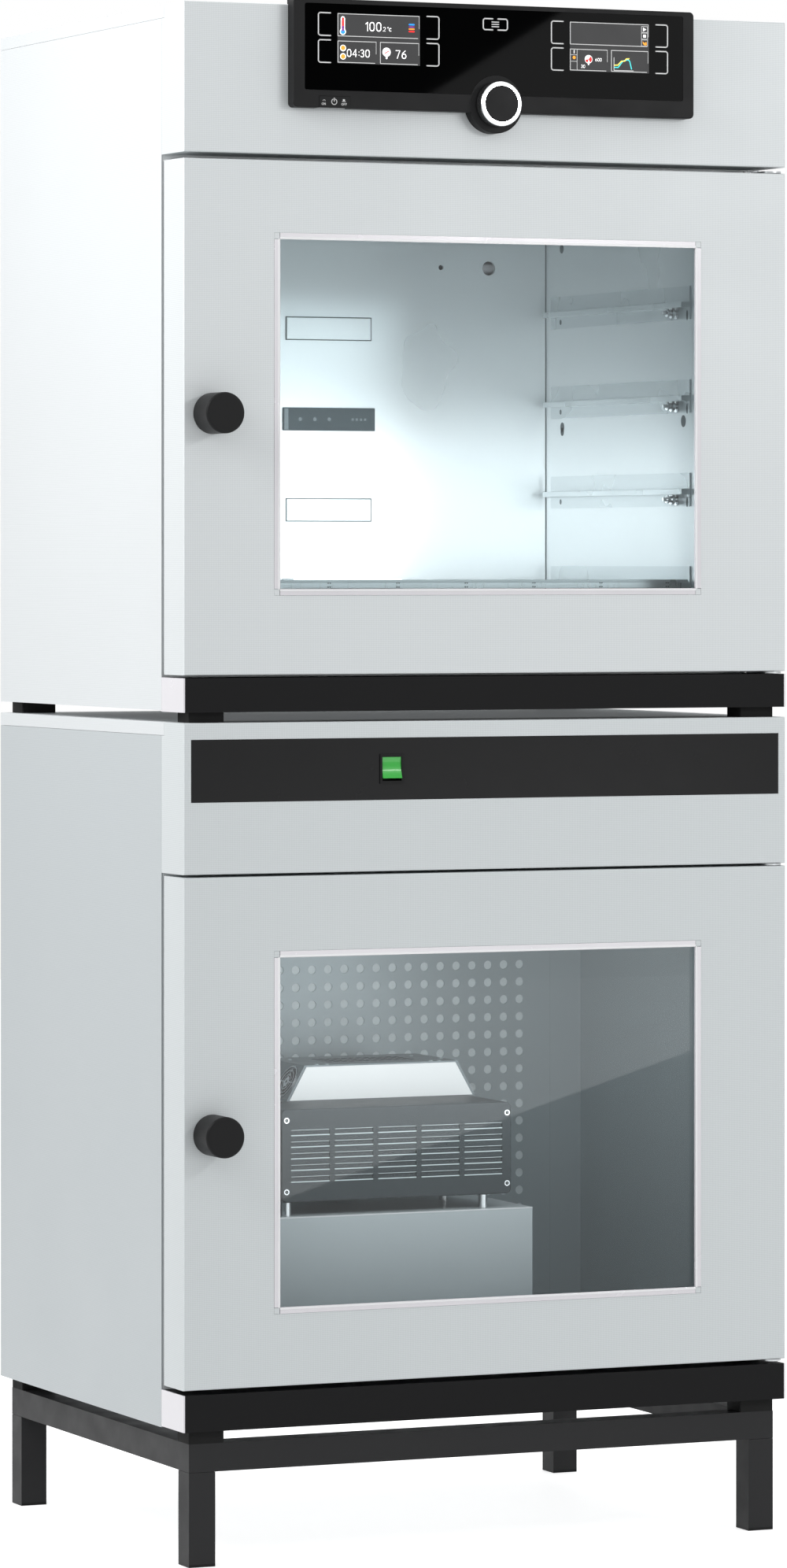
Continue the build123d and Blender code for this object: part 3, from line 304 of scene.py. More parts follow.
def turned(bm, centre, axis, profile, steps=24):
    """Revolves (radius, distance along the axis) pairs round an axis through the centre."""
    axis = Vector(axis).normalized()
    side = axis.orthogonal().normalized()
    other = axis.cross(side)
    angles = [2 * math.pi * step / steps for step in range(steps)]
    spokes = [side * math.cos(angle) + other * math.sin(angle) for angle in angles]
    rings = []
    for radius, along in profile:
        middle = Vector(centre) + axis * along
        rings.append([bm.verts.new(middle + spoke * radius) for spoke in spokes])
    for one, two in zip(rings, rings[1:]):
        for step in range(steps):
            after = (step + 1) % steps
            bm.faces.new((one[step], one[after], two[after], two[step]))
    bm.faces.new(rings[0])
    bm.faces.new(list(reversed(rings[-1])))


def prism(bm, outline, y):
    """A flat outline of (x, z) points, given thickness along Y."""
    near = [bm.verts.new((px, y[0], pz)) for px, pz in outline]
    far = [bm.verts.new((px, y[1], pz)) for px, pz in outline]
    bm.faces.new(near)
    bm.faces.new(list(reversed(far)))
    count = len(outline)
    for index in range(count):
        after = (index + 1) % count
        bm.faces.new((near[index], far[index], far[after], near[after]))


def stroke(bm, points, width, y):
    """A line of even width through (x, z) points, made of short plates with round joints."""
    half = width / 2
    for one, two in zip(points, points[1:]):
        along = Vector((two[0] - one[0], two[1] - one[1]))
        if along.length < 1e-6:
            continue
        across = Vector((-along.y, along.x)).normalized() * half
        prism(bm, [(one[0] + across.x, one[1] + across.y), (one[0] - across.x, one[1] - across.y),
                   (two[0] - across.x, two[1] - across.y), (two[0] + across.x, two[1] + across.y)], y)
    for px, pz in points:
        disc(bm, px, pz, half, y, 8)


def disc(bm, x, z, radius, y, steps=24, start=0.0, sweep=360.0, hub=False):
    """A thin disc that faces the front, or a sector of one with its hub."""
    outline = arc(x, z, radius, start, start + sweep, steps)
    if sweep == 360.0:
        outline.pop()
    if hub:
        outline.append((x, z))
    prism(bm, outline, y)


def arc(x, z, radius, start, end, steps=16):
    """Points on an arc that faces the front, from one angle in degrees to another."""
    angles = [math.radians(start + (end - start) * step / steps) for step in range(steps + 1)]
    return [(x + radius * math.cos(angle), z + radius * math.sin(angle)) for angle in angles]


# Digits of the displays as strokes, in shares of their height
DIGITS = {
    "0": [arc(0.3, 0.7, 0.3, 0, 180, 8) + arc(0.3, 0.3, 0.3, 180, 360, 8) + [(0.6, 0.7)]],
    "1": [[(0.1, 0.8), (0.35, 1.0), (0.35, 0.0)]],
    "2": [arc(0.3, 0.7, 0.3, 160, -40, 8) + [(0.0, 0.0), (0.62, 0.0)]],
    "3": [arc(0.3, 0.75, 0.25, 150, -90, 8), arc(0.3, 0.27, 0.28, 90, -150, 8)],
    "4": [[(0.5, 0.0), (0.5, 1.0), (0.0, 0.28), (0.66, 0.28)]],
    "5": [[(0.58, 1.0), (0.08, 1.0), (0.04, 0.55)] + arc(0.28, 0.32, 0.32, 110, -150, 10)],
    "6": [arc(0.31, 0.3, 0.3, 90, 450, 12), [(0.02, 0.36), (0.08, 0.66), (0.5, 1.0)]],
    "7": [[(0.0, 1.0), (0.6, 1.0), (0.2, 0.0)]],
    ":": [[(0.15, 0.66), (0.15, 0.7)], [(0.15, 0.22), (0.15, 0.26)]],
    ".": [[(0.1, 0.0), (0.1, 0.03)]],
}
ADVANCE = {":": 0.34, ".": 0.28, "1": 0.62}
DIGIT_WIDTH = 0.92


def number(bm, text, x, z, height, y, weight=0.11, pitch=0.86):
    """Draws a plain number from its lower left corner and returns the x where it ends."""
    for letter in text:
        for points in DIGITS[letter]:
            placed = [(x + px * height * DIGIT_WIDTH, z + pz * height) for px, pz in points]
            stroke(bm, placed, weight * height, y)
        x += ADVANCE.get(letter, pitch) * height
    return x


# Displays of the cockpit, drawn in thin layers in front of its glass
GLASS_Y = -289.8
LAYER_STEP = 0.08
LAYER = [(GLASS_Y - LAYER_STEP * (n + 1), GLASS_Y - LAYER_STEP * n) for n in range(4)]
DISPLAYS_X = ((-185.2, -89.6), (87.1, 181.8))
DISPLAYS_Z = (1588.0, 1641.0)
TILE_LOW_Z = (1588.4, 1611.6)
TILE_HIGH_Z = (1616.3, 1640.6)
TILE_WIDTH = 44.2
TILE_GAP = 4.9


def lit(name, colour, strength=0.8):
    """A colour that glows like a pixel of a display."""
    return surface(name, colour, 0.5, mottle=0.03, bump=0.0, specular=0.2, emission=strength)


INKS = {
    "frames": lit("screen_line", (0.55, 0.55, 0.55), 0.6),
    "numbers": lit("screen_white", (0.85, 0.85, 0.85)),
    "red": lit("screen_red", (0.75, 0.03, 0.03)),
    "blue": lit("screen_blue", (0.03, 0.30, 0.75)),
    "purple": lit("screen_purple", (0.22, 0.05, 0.28)),
    "orange": lit("screen_orange", (0.85, 0.33, 0.04)),
    "yellow": lit("screen_yellow", (0.85, 0.70, 0.15)),
    "cyan": lit("screen_cyan", (0.08, 0.62, 0.62)),
}
screen_grey = lit("screen_grey", (0.045, 0.045, 0.046), 0.4)
# The key marks are print; their glow is painted light
key_print_glow = lit("key_print_glow", (0.60, 0.60, 0.60), 0.3)


def tile_frame(bm, x, z, line=0.7, fade=0.55):
    """A display tile's border: full at the left, and open towards the lower right."""
    stroke(bm, [(x[1] - 1.5, z[0] + line), (x[0], z[0] + line), (x[0], z[1]), (x[1], z[1])], line, LAYER[1])
    stroke(bm, [(x[1], z[1]), (x[1], z[1] - (z[1] - z[0]) * fade)], line * 0.6, LAYER[1])


def temperature_tile(inks):
    """Thermometer, temperature in degrees, and the coloured marks of its limits."""
    after = number(inks["numbers"], "100", -153.4, 1623.4, 9.0, LAYER[1])
    number(inks["numbers"], ".2", after - 1.0, 1623.6, 4.2, LAYER[1])
    disc(inks["numbers"], -126.9, 1627.4, 0.8, LAYER[1])
    stroke(inks["numbers"], arc(-124.0, 1625.3, 1.5, 60, 300, 8), 0.7, LAYER[1])
    x, bulb = -179.1, 1621.6
    stroke(inks["numbers"], [(x, 1621.5), (x, 1635.6)], 5.0, LAYER[1])
    disc(inks["numbers"], x, bulb, 3.6, LAYER[1])
    stroke(inks["red"], [(x, 1626.0), (x, 1635.4)], 2.6, LAYER[2])
    disc(inks["blue"], x, bulb, 2.5, LAYER[2])
    stroke(inks["purple"], [(x, 1623.4), (x, 1626.6)], 2.6, LAYER[3])
    limits = (("red", 1624.2, 1.7), ("orange", 1626.8, 1.5), ("purple", 1629.1, 1.4), ("blue", 1631.6, 1.7))
    for ink, z, width in limits:
        stroke(inks[ink], [(-102.0, z), (-96.6, z)], width, LAYER[1])


def timer_tile(inks):
    """Two round marks and the time that is left."""
    number(inks["numbers"], "04:30", -174.0, 1595.4, 7.6, LAYER[1], pitch=0.82)
    x = -178.9
    for z, inner_z in ((1604.2, 1604.4), (1595.4, 1595.2)):
        disc(inks["numbers"], x, z, 3.5, LAYER[1])
        disc(inks["orange"], x, inner_z, 2.5, LAYER[2])


def pressure_tile(inks):
    """A gauge with its red needle, and the pressure."""
    number(inks["numbers"], "76", -117.6, 1595.2, 8.2, LAYER[1])
    x = -128.5
    disc(inks["numbers"], x, 1601.4, 4.9, LAYER[1])
    stroke(inks["numbers"], [(x, 1597.0), (x, 1594.8)], 2.0, LAYER[1])
    stroke(inks["red"], [(x - 2.0, 1600.0), (x + 2.5, 1602.6)], 0.8, LAYER[2])


def programme_tiles(inks):
    """The right display: run marks above, a gauge with two small numbers and a chart of two curves below."""
    for low, high in ((1632.2, 1638.6), (1624.9, 1631.5), (1617.4, 1624.1)):
        box = [(172.8, low), (172.8, high), (180.0, high), (180.0, low), (172.8, low)]
        stroke(inks["frames"], box, 0.5, LAYER[1])
    prism(inks["numbers"], [(174.6, 1633.2), (178.6, 1635.4), (174.6, 1637.6)], LAYER[1])
    bar(inks["numbers"], (174.9, 178.1), LAYER[1], (1626.6, 1629.8))
    flag = [(174.2, 1622.6), (176.4, 1620.6), (178.6, 1622.2), (179.3, 1618.6), (176.4, 1618.2),
            (174.6, 1619.8)]
    prism(inks["orange"], flag, LAYER[1])

    stroke(inks["frames"], [(95.7, 1589.0), (95.7, 1611.0)], 0.5, LAYER[1])
    for z in (1598.5, 1605.5):
        stroke(inks["frames"], [(88.5, z), (95.7, z)], 0.5, LAYER[1])
    stroke(inks["numbers"], [(92.2, 1607.4), (92.2, 1610.2)], 0.9, LAYER[1])
    disc(inks["orange"], 92.2, 1602.6, 1.8, LAYER[1])
    gauge_x, gauge_z, gauge_radius = 109.4, 1601.2, 4.6
    disc(inks["numbers"], gauge_x, gauge_z, gauge_radius, LAYER[1])
    stroke(inks["numbers"], [(gauge_x, 1597.0), (gauge_x, 1595.6)], 1.6, LAYER[1])
    for start, sweep in ((-60, 110), (190, 60)):
        disc(inks["red"], gauge_x, gauge_z, gauge_radius - 0.7, LAYER[2], 10, start, sweep, hub=True)
    number(inks["numbers"], "30", 100.5, 1591.8, 3.2, LAYER[1])
    number(inks["numbers"], "600", 117.6, 1599.4, 3.2, LAYER[1])

    stroke(inks["frames"], [(139.8, 1604.0), (139.8, 1590.2), (163.0, 1590.2)], 0.7, LAYER[1])
    heating = [(140.6, 1595.8), (144.4, 1596.0), (148.6, 1600.2), (152.6, 1600.6), (154.4, 1602.8),
               (157.6, 1603.2)]
    vacuum = [(140.6, 1593.4), (144.8, 1593.4), (150.6, 1600.6), (156.6, 1602.0), (158.6, 1600.6),
              (160.8, 1592.2)]
    stroke(inks["yellow"], heating, 1.2, LAYER[2])
    stroke(inks["cyan"], vacuum, 1.2, LAYER[1])


def screens():
    bm = bmesh.new()
    for x in DISPLAYS_X:
        bar(bm, x, LAYER[0], DISPLAYS_Z)
    finish_piece("display_panels", bm, "cabinets", screen_grey)
    inks = {name: bmesh.new() for name in INKS}
    for left, right in ((-184.8, -90.6), (87.6, 181.0)):
        tile_frame(inks["frames"], (left, right), TILE_HIGH_Z)
        tile_frame(inks["frames"], (left, left + TILE_WIDTH), TILE_LOW_Z)
        tile_frame(inks["frames"], (left + TILE_WIDTH + TILE_GAP, right - 0.4), TILE_LOW_Z)
    temperature_tile(inks)
    timer_tile(inks)
    pressure_tile(inks)
    programme_tiles(inks)
    for name, material in INKS.items():
        finish_piece("display_" + name, inks[name], "cabinets", material)


def bracket(bm, start, reach, low, high, width):
    """A square bracket with cut corners on the glass, open towards where it reaches."""
    corner = 1.6
    step = math.copysign(corner, reach)
    stroke(bm, [(start + reach, high), (start + step, high), (start, high - corner),
                (start, low + corner), (start + step, low), (start + reach, low)], width, LAYER[0])


def touch_keys():
    """Brackets of the touch keys beside both displays, and of the key with three lines between them."""
    bm = bmesh.new()
    for left, right in ((-207.3, -67.4), (65.2, 204.2)):
        for low, high in ((1617.0, 1641.0), (1588.4, 1612.3)):
            bracket(bm, left, 14.0, low, high, 1.3)
            bracket(bm, right, -14.0, low, high, 1.3)
    bracket(bm, -15.4, 11.2, 1629.2, 1641.0, 1.4)
    bracket(bm, 13.1, -11.2, 1629.2, 1641.0, 1.4)
    for z in (1632.6, 1635.1, 1637.6):
        stroke(bm, [(-5.2, z), (2.9, z)], 1.1, LAYER[0])
    finish_piece("touch_key_marks", bm, "cabinets", key_print_glow)


def button_marks():
    """ON, power and OFF marks on the power key, with a small sign above each of the outer two."""
    bm = bmesh.new()
    y = (-290.5, -290.4)
    foot, tall, thin = 1543.4, 2.2, 0.45
    ring, ring_radius = foot + tall / 2, 1.0
    stroke(bm, arc(-202.6, ring, ring_radius, 90, 450, 10), thin, y)
    stroke(bm, [(-201.0, foot), (-201.0, foot + tall), (-199.4, foot), (-199.4, foot + tall)], thin, y)
    stroke(bm, arc(-189.3, 1547.0, 3.0, 120, 420, 18), 0.9, y)
    stroke(bm, [(-189.3, 1547.4), (-189.3, 1551.0)], 0.9, y)
    stroke(bm, arc(-179.9, ring, ring_radius, 90, 450, 10), thin, y)
    for x in (-178.2, -176.1):
        stroke(bm, [(x, foot), (x, foot + tall), (x + 1.3, foot + tall)], thin, y)
        stroke(bm, [(x, ring), (x + 1.0, ring)], 0.4, y)
    stroke(bm, arc(-201.0, 1547.6, 1.2, 0, 180, 8), 0.5, y)
    bar(bm, (-179.3, -177.0), y, (1548.0, 1549.8))
    stroke(bm, [(-180.2, 1547.4), (-176.2, 1547.4)], 0.5, y)
    finish_piece("power_key_marks", bm, "power_key", key_print_glow)


def dial_details():
    """Two fine wire rings on the dial's face."""
    bm = bmesh.new()
    dial_z, wire = 1549.4, 0.22
    for radius, y in ((23.2, -303.6), (20.3, -304.05)):
        points = [Vector((px, y, pz)) for px, pz in arc(0.0, dial_z, radius, 0, 360, 48)]
        for one, two in zip(points, points[1:]):
            turned(bm, one, two - one, [(wire, 0.0), (wire, (two - one).length)], 6)
    finish_piece("dial_edge_rings", bm, "dial", "dial_metal", smooth=True)


def hinge_fittings():
    """Screw heads at the hinge plates, in the gaps above and below each door."""
    gaps = ((937.2, 940.2), (1484.6, 1491.2), (182.7, 187.7), (727.2, 730.2))
    bm = bmesh.new()
    for low, high in gaps:
        foot = (low + high) / 2 - 1.0
        for x in (329.0, 336.5):
            turned(bm, (x, -230.0, foot), (0, 0, 1), [(2.4, 0.0), (2.4, 1.4), (1.8, 2.0)], 16)
    finish_piece("hinge_screws", bm, "cabinets", "steel")


UNIT_BASES = (130.0, 890.0)
REAR_Y = 275.0


def rear_details():
    """Socket screws round the edge of both rear panels."""
    bm = bmesh.new()
    head, height, socket = 4.0, 2.2, 2.0
    profile = [(head, 0.0), (head, height * 0.6), (head * 0.85, height), (socket, height),
               (socket * 0.9, height * 0.45)]
    for base in UNIT_BASES:
        along_ends = [(x, z) for x in (-340.0, -115.0, 115.0, 340.0) for z in (24.0, 732.0)]
        along_sides = [(x, z) for x in (-340.0, 340.0) for z in (260.0, 500.0)]
        for x, z in along_ends + along_sides:
            turned(bm, (x, REAR_Y, base + z), (0, 1, 0), profile, 20)
    finish_piece("rear_screws", bm, "cabinets", "steel")


WINDOW_HALF = 251.8
TRIM_WIDTH = 6.3
HIGHLIGHT_STRIP_WIDTH = 1.9


def window_details(name, body, low, high, skin):
    """Corner plates of a window's trim, and white strips along its inner edges that are a painted highlight,
    on its door.
    """
    inner = WINDOW_HALF - TRIM_WIDTH
    floor, ceiling = low + TRIM_WIDTH, high - TRIM_WIDTH
    bm = bmesh.new()
    for x in ((-WINDOW_HALF, -inner), (inner, WINDOW_HALF)):
        for z in ((low, floor), (ceiling, high)):
            bar(bm, x, (-275.0, -272.3), z, 0.15)
    finish_piece(name + "_window_corners", bm, body, skin)
    # White strips along the window's inner edges: painted highlight
    bm = bmesh.new()
    highlight_strip_y = (-275.8, -275.4)
    for x in ((-inner - HIGHLIGHT_STRIP_WIDTH, -inner), (inner, inner + HIGHLIGHT_STRIP_WIDTH)):
        bar(bm, x, highlight_strip_y, (floor, ceiling), 0.15)
    for z in ((floor - HIGHLIGHT_STRIP_WIDTH, floor), (ceiling, ceiling + HIGHLIGHT_STRIP_WIDTH)):
        bar(bm, (-inner, inner), highlight_strip_y, z, 0.15)
    finish_piece(name + "_window_highlight_strips", bm, body, "trim_white")


# The four shelf levels, and the chamber's half width and rear wall
LEDGES = (1036.75, 1139.5, 1242.25, 1345.0)
CHAMBER_HALF = 272.5
CHAMBER_REAR = 165.0
SOCKET_DROP = 21.0
LIVE_SOCKETS = [ledge - SOCKET_DROP for ledge in LEDGES[0::2]]
BLANK_SOCKETS = [ledge - SOCKET_DROP for ledge in LEDGES[1::2]]


def sockets():
    """Two live sockets and two blank covers on the chamber's rear wall."""
    block_mesh, cover_mesh, joints, contacts = [bmesh.new() for _ in range(4)]
    for z in LIVE_SOCKETS:
        bar(block_mesh, (-56.5, 56.5), (CHAMBER_REAR - 3.0, CHAMBER_REAR), (z - 13.0, z + 13.0), 0.6)
        contact_y = (CHAMBER_REAR - 3.15, CHAMBER_REAR - 2.95)
        for x in (-36.0, -18.0, -0.3):
            disc(contacts, x, z, 2.2, contact_y, 16)
        for x in (28.6, 33.7, 38.9, 44.1):
            disc(contacts, x, z, 1.6, contact_y, 12)
        bar(contacts, (-55.6, -50.6), contact_y, (z - 12.0, z + 12.0))
    for z in BLANK_SOCKETS:
        bar(cover_mesh, (-51.8, 51.8), (CHAMBER_REAR - 1.5, CHAMBER_REAR), (z - 12.3, z + 12.3), 0.5)
        half, tall = 52.4, 12.9
        low, high = z - tall, z + tall
        round_cover = [(-half, low), (-half, high), (half, high), (half, low), (-half, low)]
        stroke(joints, round_cover, 0.9, (CHAMBER_REAR - 1.0, CHAMBER_REAR - 0.1))
    blocks = finish_piece("socket_blocks", block_mesh, "cabinets", "socket_black")
    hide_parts("shelf_sockets")
    covers = finish_piece("socket_blank_covers", cover_mesh, "cabinets", "stainless")
    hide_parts("shelf_sockets")
    finish_piece("socket_cover_joints", joints, "cabinets", "liner_edge")
    finish_piece("socket_contacts", contacts, "cabinets", "pump_edge")


def side_disc(bm, x, y, z, radius, depth, tall=1.0, steps=20):
    """A round or oval plate against a side wall; depth is how far it stands off towards the middle."""
    inward = -math.copysign(1.0, x)
    rings = []
    for along in (0.0, depth):
        turns = [2 * math.pi * step / steps for step in range(steps)]
        rings.append([bm.verts.new((x + inward * along, y + radius * math.cos(turn),
                                    z + radius * tall * math.sin(turn))) for turn in turns])
    bm.faces.new(rings[0])
    bm.faces.new(list(reversed(rings[1])))
    for step in range(steps):
        after = (step + 1) % steps
        bm.faces.new((rings[0][step], rings[0][after], rings[1][after], rings[1][step]))


# A rail's bolt, as (radius, distance from the wall): washer, nut, collar and threaded end
BOLT_PROFILE = [(7.0, 0.0), (7.0, 1.2), (3.0, 1.6), (3.0, 4.0), (6.2, 4.4), (6.2, 7.4),
                (3.4, 7.8), (3.4, 10.0), (4.6, 10.3), (4.6, 12.4), (2.2, 12.8), (2.2, 17.0)]
RAIL_Y = (-208.9, 148.8)
MARK_PITCH = 69.65
# Round openings in the side walls: place along Y, height and radius
WALL_OPENINGS = ((121.0, 1213.6, 5.2), (121.0, 1208.6, 4.4), (-190.8, 1214.7, 6.0), (122.4, 1418.0, 4.9))


def from_wall(side, near, far):
    """A stretch of X between two distances from a side wall of the chamber."""
    return sorted((side * (CHAMBER_HALF - near), side * (CHAMBER_HALF - far)))


def rail_details():
    """Holes, bolts and small marks of the shelf rails on both side walls, with pale strips along the rails'
    edges that are a painted highlight; the holes are dark discs that paint the shade inside them.
    """
    holes, bolts, highlight_strips, marks, seams = [bmesh.new() for _ in range(5)]
    for side in (-1.0, 1.0):
        for ledge in LEDGES:
            # Dark discs on the walls paint the shade inside their holes
            side_disc(holes, side * (CHAMBER_HALF - 1.45), 122.4, ledge - 11.2, 2.6, 0.15, 1.15)
            side_disc(holes, side * (CHAMBER_HALF - 1.45), -203.0, ledge - 14.0, 2.2, 0.15, 2.6)
        for ledge in LEDGES[1:]:
            bolt_foot = (side * (CHAMBER_HALF - 1.5), -177.0, ledge - 11.0)
            turned(bolts, bolt_foot, (-side, 0, 0), BOLT_PROFILE, 12)
            # Pale strips along the ledge's edges: painted highlight
            bar(highlight_strips, from_wall(side, 1.0, 10.6), RAIL_Y, (ledge - 0.1, ledge + 0.5), 0.2)
            bar(highlight_strips, from_wall(side, 10.05, 10.6), RAIL_Y, (ledge - 5.5, ledge - 3.9), 0.2)
            for step in range(5):
                y = 134.3 - MARK_PITCH * step
                bar(marks, from_wall(side, 10.5, 10.9), (y - 1.8, y + 1.8), (ledge - 4.8, ledge - 3.6))
        for y, z, radius in WALL_OPENINGS:
            # The round openings are dark discs too: painted shade
            side_disc(holes, side * (CHAMBER_HALF + 0.05), y, z, radius, 0.2, 1.1)
        corner_y, corner_z = (CHAMBER_REAR - 0.5, CHAMBER_REAR - 0.1), (984.5, 1447.5)
        bar(seams, from_wall(side, 0.5, 0.05), corner_y, corner_z)
        bar(seams, from_wall(side, 1.0, 0.05), (corner_y[0] + 0.1, corner_y[1]), corner_z)
    finish_piece("chamber_wall_holes", holes, "cabinets", "liner_edge")
    finish_piece("shelf_rail_bolts", bolts, "cabinets", "steel")
    finish_piece("shelf_rail_highlight_strips", highlight_strips, "cabinets", "rail_highlight_strip")
    finish_piece("shelf_rail_marks", marks, "cabinets", "liner_edge")
    finish_piece("chamber_corner_seams", seams, "cabinets", "liner_edge")


def shelf_details():
    """Pairs of screws along the heated shelf's front edge, and a pale strip along its upper edge that is a
    painted highlight.
    """
    front_y = (-212.35, -211.9)
    bm = bmesh.new()
    for step in range(-3, 4):
        x = step * 80.75
        for z in (1036.9, 1032.6):
            disc(bm, x - 1.2, z, 0.8, front_y, 10)
            disc(bm, x + 1.2, z, 0.8, front_y, 10)
    finish_piece("heated_shelf_screws", bm, "shelf", "liner_edge")
    # Pale strip along the shelf's upper edge: painted highlight
    bm = bmesh.new()
    bar(bm, (-267.5, 267.5), (-212.4, -211.9), (1037.2, 1040.3), 0.3)
    finish_piece("heated_shelf_highlight_strip", bm, "shelf", "rail_highlight_strip")


def compartment_details():
    """Mat behind the perforated panel, and the seams of the liner beside it, with pale strips at its corners
    that are a painted highlight.
    """
    mat, seams, bead_highlights = bmesh.new(), bmesh.new(), bmesh.new()
    bar(mat, (-286.0, 286.0), (190.55, 192.2), (219.0, 693.0), 0.4)
    liner_z = (192.0, 720.0)
    for side in (-1.0, 1.0):
        for x in (289.0, 317.4, 327.4):
            bar(seams, sorted((side * x, side * (x + 0.6))), (190.1, 190.6), liner_z, 0.1)
        # Pale strip at the liner's corner: painted highlight
        bar(bead_highlights, sorted((side * 328.3, side * 329.4)), (189.4, 190.4), liner_z, 0.2)
    finish_piece("panel_filter_mat", mat, "cabinets", "filter_mat")
    finish_piece("liner_seams", seams, "cabinets", "liner_edge")
    finish_piece("liner_corner_bead_highlights", bead_highlights, "cabinets", "bright_metal_and_highlight")


# Middle of the pump's louvred cover, and the pitch and half length of its louvres
COVER_X, COVER_Z = -43.0, 415.75
LOUVRE_PITCH_X, LOUVRE_PITCH_Z, LOUVRE_HALF = 51.6, 12.6, 23.5


def louvre_blade(bm, x, z):
    """A thin sloping blade: its lower edge stands 1 mm further forward."""
    low_y, high_y, rise, thick = -123.9, -122.9, 2.9, 0.9
    rings = []
    for y, end_z in ((low_y, z - rise), (high_y, z + rise)):
        rings.append([bm.verts.new((x + dx, y + dy, end_z)) for dx, dy in (
            (-LOUVRE_HALF, 0.0), (LOUVRE_HALF, 0.0), (LOUVRE_HALF, thick), (-LOUVRE_HALF, thick))])
    low, high = rings
    bm.faces.new(low)
    bm.faces.new(list(reversed(high)))
    for corner in range(4):
        after = (corner + 1) % 4
        bm.faces.new((low[corner], low[after], high[after], high[corner]))


def cover_details():
    """Louvres, side ribs and screws of the pump's cover; pale strips along the louvres' edges are a painted
    highlight, and near-black discs round the screws paint the shade in their holes.
    """
    blades, highlight_strips, ribs, socket_holes, pins = [bmesh.new() for _ in range(5)]
    for row in range(-2, 3):
        z = COVER_Z + LOUVRE_PITCH_Z * row
        for column in range(-2, 3):
            x = COVER_X + LOUVRE_PITCH_X * column
            louvre_blade(blades, x, z)
            # Pale strips along the louvre's edges: painted highlight
            bar(highlight_strips, (x - 22.8, x + 22.8), (-125.5, -124.2), (z - 3.7, z - 2.5), 0.3)
            bar(highlight_strips, (x - 22.4, x + 22.4), (-125.2, -124.4), (z + 2.4, z + 3.0), 0.2)
        for side_x in ((93.6, 95.6), (-181.6, -179.6)):
            bar(ribs, side_x, (-122.0, -30.0), (z - 2.4, z + 2.4), 0.9)
    for x in (COVER_X - 131.5, COVER_X + 131.5):
        for z in (377.0, 454.5):
            # Near-black discs round the screws: painted shade in their holes
            turned(socket_holes, (x, -126.15, z), (0, -1, 0), [(2.0, 0.0), (2.0, 0.2)], 6)
            turned(pins, (x, -126.3, z), (0, -1, 0), [(0.6, 0.0), (0.5, 0.25)], 10)
    finish_piece("pump_louvre_blades", blades, "cabinets", "pump_grey")
    finish_piece("pump_louvre_highlight_strips", highlight_strips, "cabinets", "bright_metal_and_highlight")
    finish_piece("pump_cover_ribs", ribs, "cabinets", "pump_grey")
    finish_piece("pump_screw_sockets", socket_holes, "cabinets", "recess_shade")
    finish_piece("pump_screw_pins", pins, "cabinets", "bright_metal_and_highlight")


def housing_details():
    """White front face and screws of the housing on top of the pump, and near-black plates that paint the
    shade in its vents.
    """
    face, screws, vents = bmesh.new(), bmesh.new(), bmesh.new()
    prism(face, [(-127.0, 466.6), (94.0, 466.6), (73.2, 503.2), (-106.6, 503.2)], (-22.1, -21.6))
    top_z = 504.9
    front_row = [(x, -16.0) for x in (-92.0, -80.0, 46.0, 56.0)]
    for x, y in front_row + [(70.0, 10.0), (-92.0, 60.0), (56.0, 60.0)]:
        turned(screws, (x, y, top_z), (0, 0, 1), [(2.2, 0.0), (2.2, 0.6), (1.6, 1.0)], 12)
    for column in range(12):
        for line in range(4):
            x, y = -64.0 + 9.0 * column, 14.0 + 14.0 * line
            bar(vents, (x - 3.0, x + 3.0), (y - 2.2, y + 2.2), (top_z, top_z + 0.35), 0.1)
    finish_piece("pump_top_face", face, "cabinets", "pump_white")
    finish_piece("pump_top_screws", screws, "cabinets", "bright_metal_and_highlight")
    finish_piece("pump_top_vents", vents, "cabinets", "recess_shade")


def pedestal_details():
    """White strip along the top edge of the pump's pedestal, at its front and right: a painted highlight."""
    bm = bmesh.new()
    edge_z = (349.2, 350.65)
    bar(bm, (-214.6, 114.6), (-135.15, -133.6), edge_z, 0.3)
    bar(bm, (113.4, 115.12), (-135.1, 114.0), edge_z, 0.3)
    finish_piece("pedestal_edge_highlight", bm, "cabinets", "trim_white")


screens()
touch_keys()
button_marks()
dial_details()
hinge_fittings()
rear_details()
window_details("oven", "oven_door", 1024.2, 1407.8, "linen_steel")
window_details("module", "module_door", 264.2, 647.8, "linen_painted_shade")
sockets()
rail_details()
shelf_details()
compartment_details()
cover_details()
housing_details()
pedestal_details()


# Floor, light and background
def seen_directly(tree):
    """Is 1 for rays from the camera, mirrored rays and rays through a pane, and 0 for the rest."""
    path = add(tree, "ShaderNodeLightPath")
    mirrored = add(tree, "ShaderNodeMath", operation="MAXIMUM")
    shown = add(tree, "ShaderNodeMath", operation="MAXIMUM")
    tree.links.new(path.outputs["Is Glossy Ray"], mirrored.inputs[0])
    tree.links.new(path.outputs["Is Transmission Ray"], mirrored.inputs[1])
    tree.links.new(path.outputs["Is Camera Ray"], shown.inputs[0])
    tree.links.new(mirrored.outputs[0], shown.inputs[1])
    return shown.outputs[0]


floor_mesh = bpy.data.meshes.new("floor")
bm = bmesh.new()
bmesh.ops.create_grid(bm, x_segments=2, y_segments=2, size=9.0)
bm.to_mesh(floor_mesh)
bm.free()
floor = bpy.data.objects.new("floor", floor_mesh)
floor.location = (0, 0, -0.0005)
bpy.context.collection.objects.link(floor)
floor_finish = surface("floor_pale", (0.80, 0.80, 0.80), 0.6, mottle=0.01, bump=0.0, specular=0.1,
                       emission=0.4)
floor_tree = floor_finish.node_tree
floor_glow = add(floor_tree, "ShaderNodeMath", operation="MULTIPLY")
floor_glow.inputs[1].default_value = 0.90
floor_tree.links.new(seen_directly(floor_tree), floor_glow.inputs[0])
floor_tree.links.new(floor_glow.outputs[0], floor_tree.nodes["Principled BSDF"].inputs["Emission Strength"])
floor_mesh.materials.append(floor_finish)


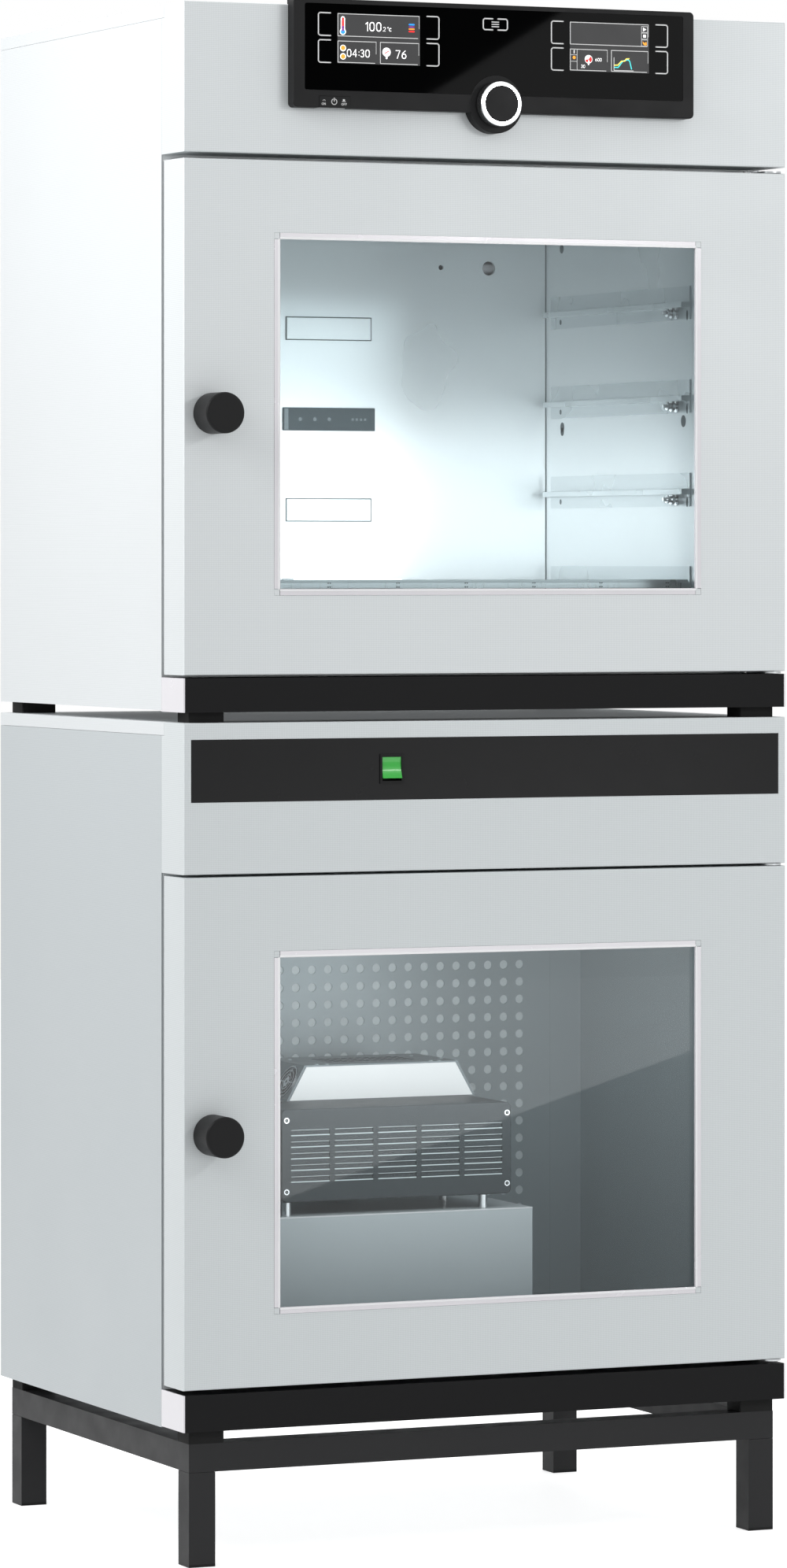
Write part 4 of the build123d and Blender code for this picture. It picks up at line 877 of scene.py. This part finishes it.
def area_light(name, place, target, size, power, roll=0.0, spread_angle=180.0):
    data = bpy.data.lights.new(name, "AREA")
    data.shape = "RECTANGLE"
    data.size, data.size_y = size
    data.energy = power
    data.spread = math.radians(spread_angle)
    light = bpy.data.objects.new(name, data)
    facing = (Vector(target) - Vector(place)).to_track_quat("-Z", "Y").to_matrix().to_4x4()
    light.matrix_world = Matrix.Translation(place) @ facing @ Matrix.Rotation(math.radians(roll), 4, "Z")
    light.visible_camera = False
    bpy.context.collection.objects.link(light)


area_light("key_left", (-1.8, -0.35, 2.1), (-0.35, 0.0, 1.1), (1.0, 1.0), 27.0)
# The two lights in front face straight back, and the panes mirror their slanting edges
area_light("front_main", (1.41, -2.5, 1.90), (1.41, 0.0, 1.90), (1.1, 0.22), 15.0, roll=31.0)
area_light("front_low", (1.0, -2.5, 0.50), (1.0, 0.0, 0.50), (1.0, 0.5), 2.6, roll=16.5)
area_light("top_soft", (0.3, 0.2, 3.6), (0.0, 0.0, 0.8), (2.0, 2.0), 18.0)
area_light("in_chamber", (0.02, -0.20, 1.13), (0.04, 0.2, 1.12), (0.46, 0.16), 0.55, spread_angle=105.0)
area_light("in_compartment", (0.0, -0.205, 0.54), (-0.02, 0.2, 0.52), (0.46, 0.20), 0.42)
area_light("in_compartment_left", (-0.18, -0.19, 0.67), (-0.24, 0.18, 0.60), (0.12, 0.06), 0.16)
area_light("in_gap", (0.0, 0.03, 0.9015), (0.0, 0.03, 0.0), (0.66, 0.46), 0.09)

world = bpy.data.worlds.new("studio")
bpy.context.scene.world = world
world.use_nodes = True
sky = world.node_tree
sky.nodes.clear()
sky_out = add(sky, "ShaderNodeOutputWorld")
seen = add(sky, "ShaderNodeBackground", in_Color=(1.0, 1.0, 1.0, 1.0), in_Strength=1.0)
ambient = add(sky, "ShaderNodeBackground", in_Color=(0.97, 0.99, 1.0, 1.0), in_Strength=0.58)
choose = add(sky, "ShaderNodeMixShader")
sky.links.new(seen_directly(sky), choose.inputs[0])
sky.links.new(ambient.outputs[0], choose.inputs[1])
sky.links.new(seen.outputs[0], choose.inputs[2])
sky.links.new(choose.outputs[0], sky_out.inputs["Surface"])
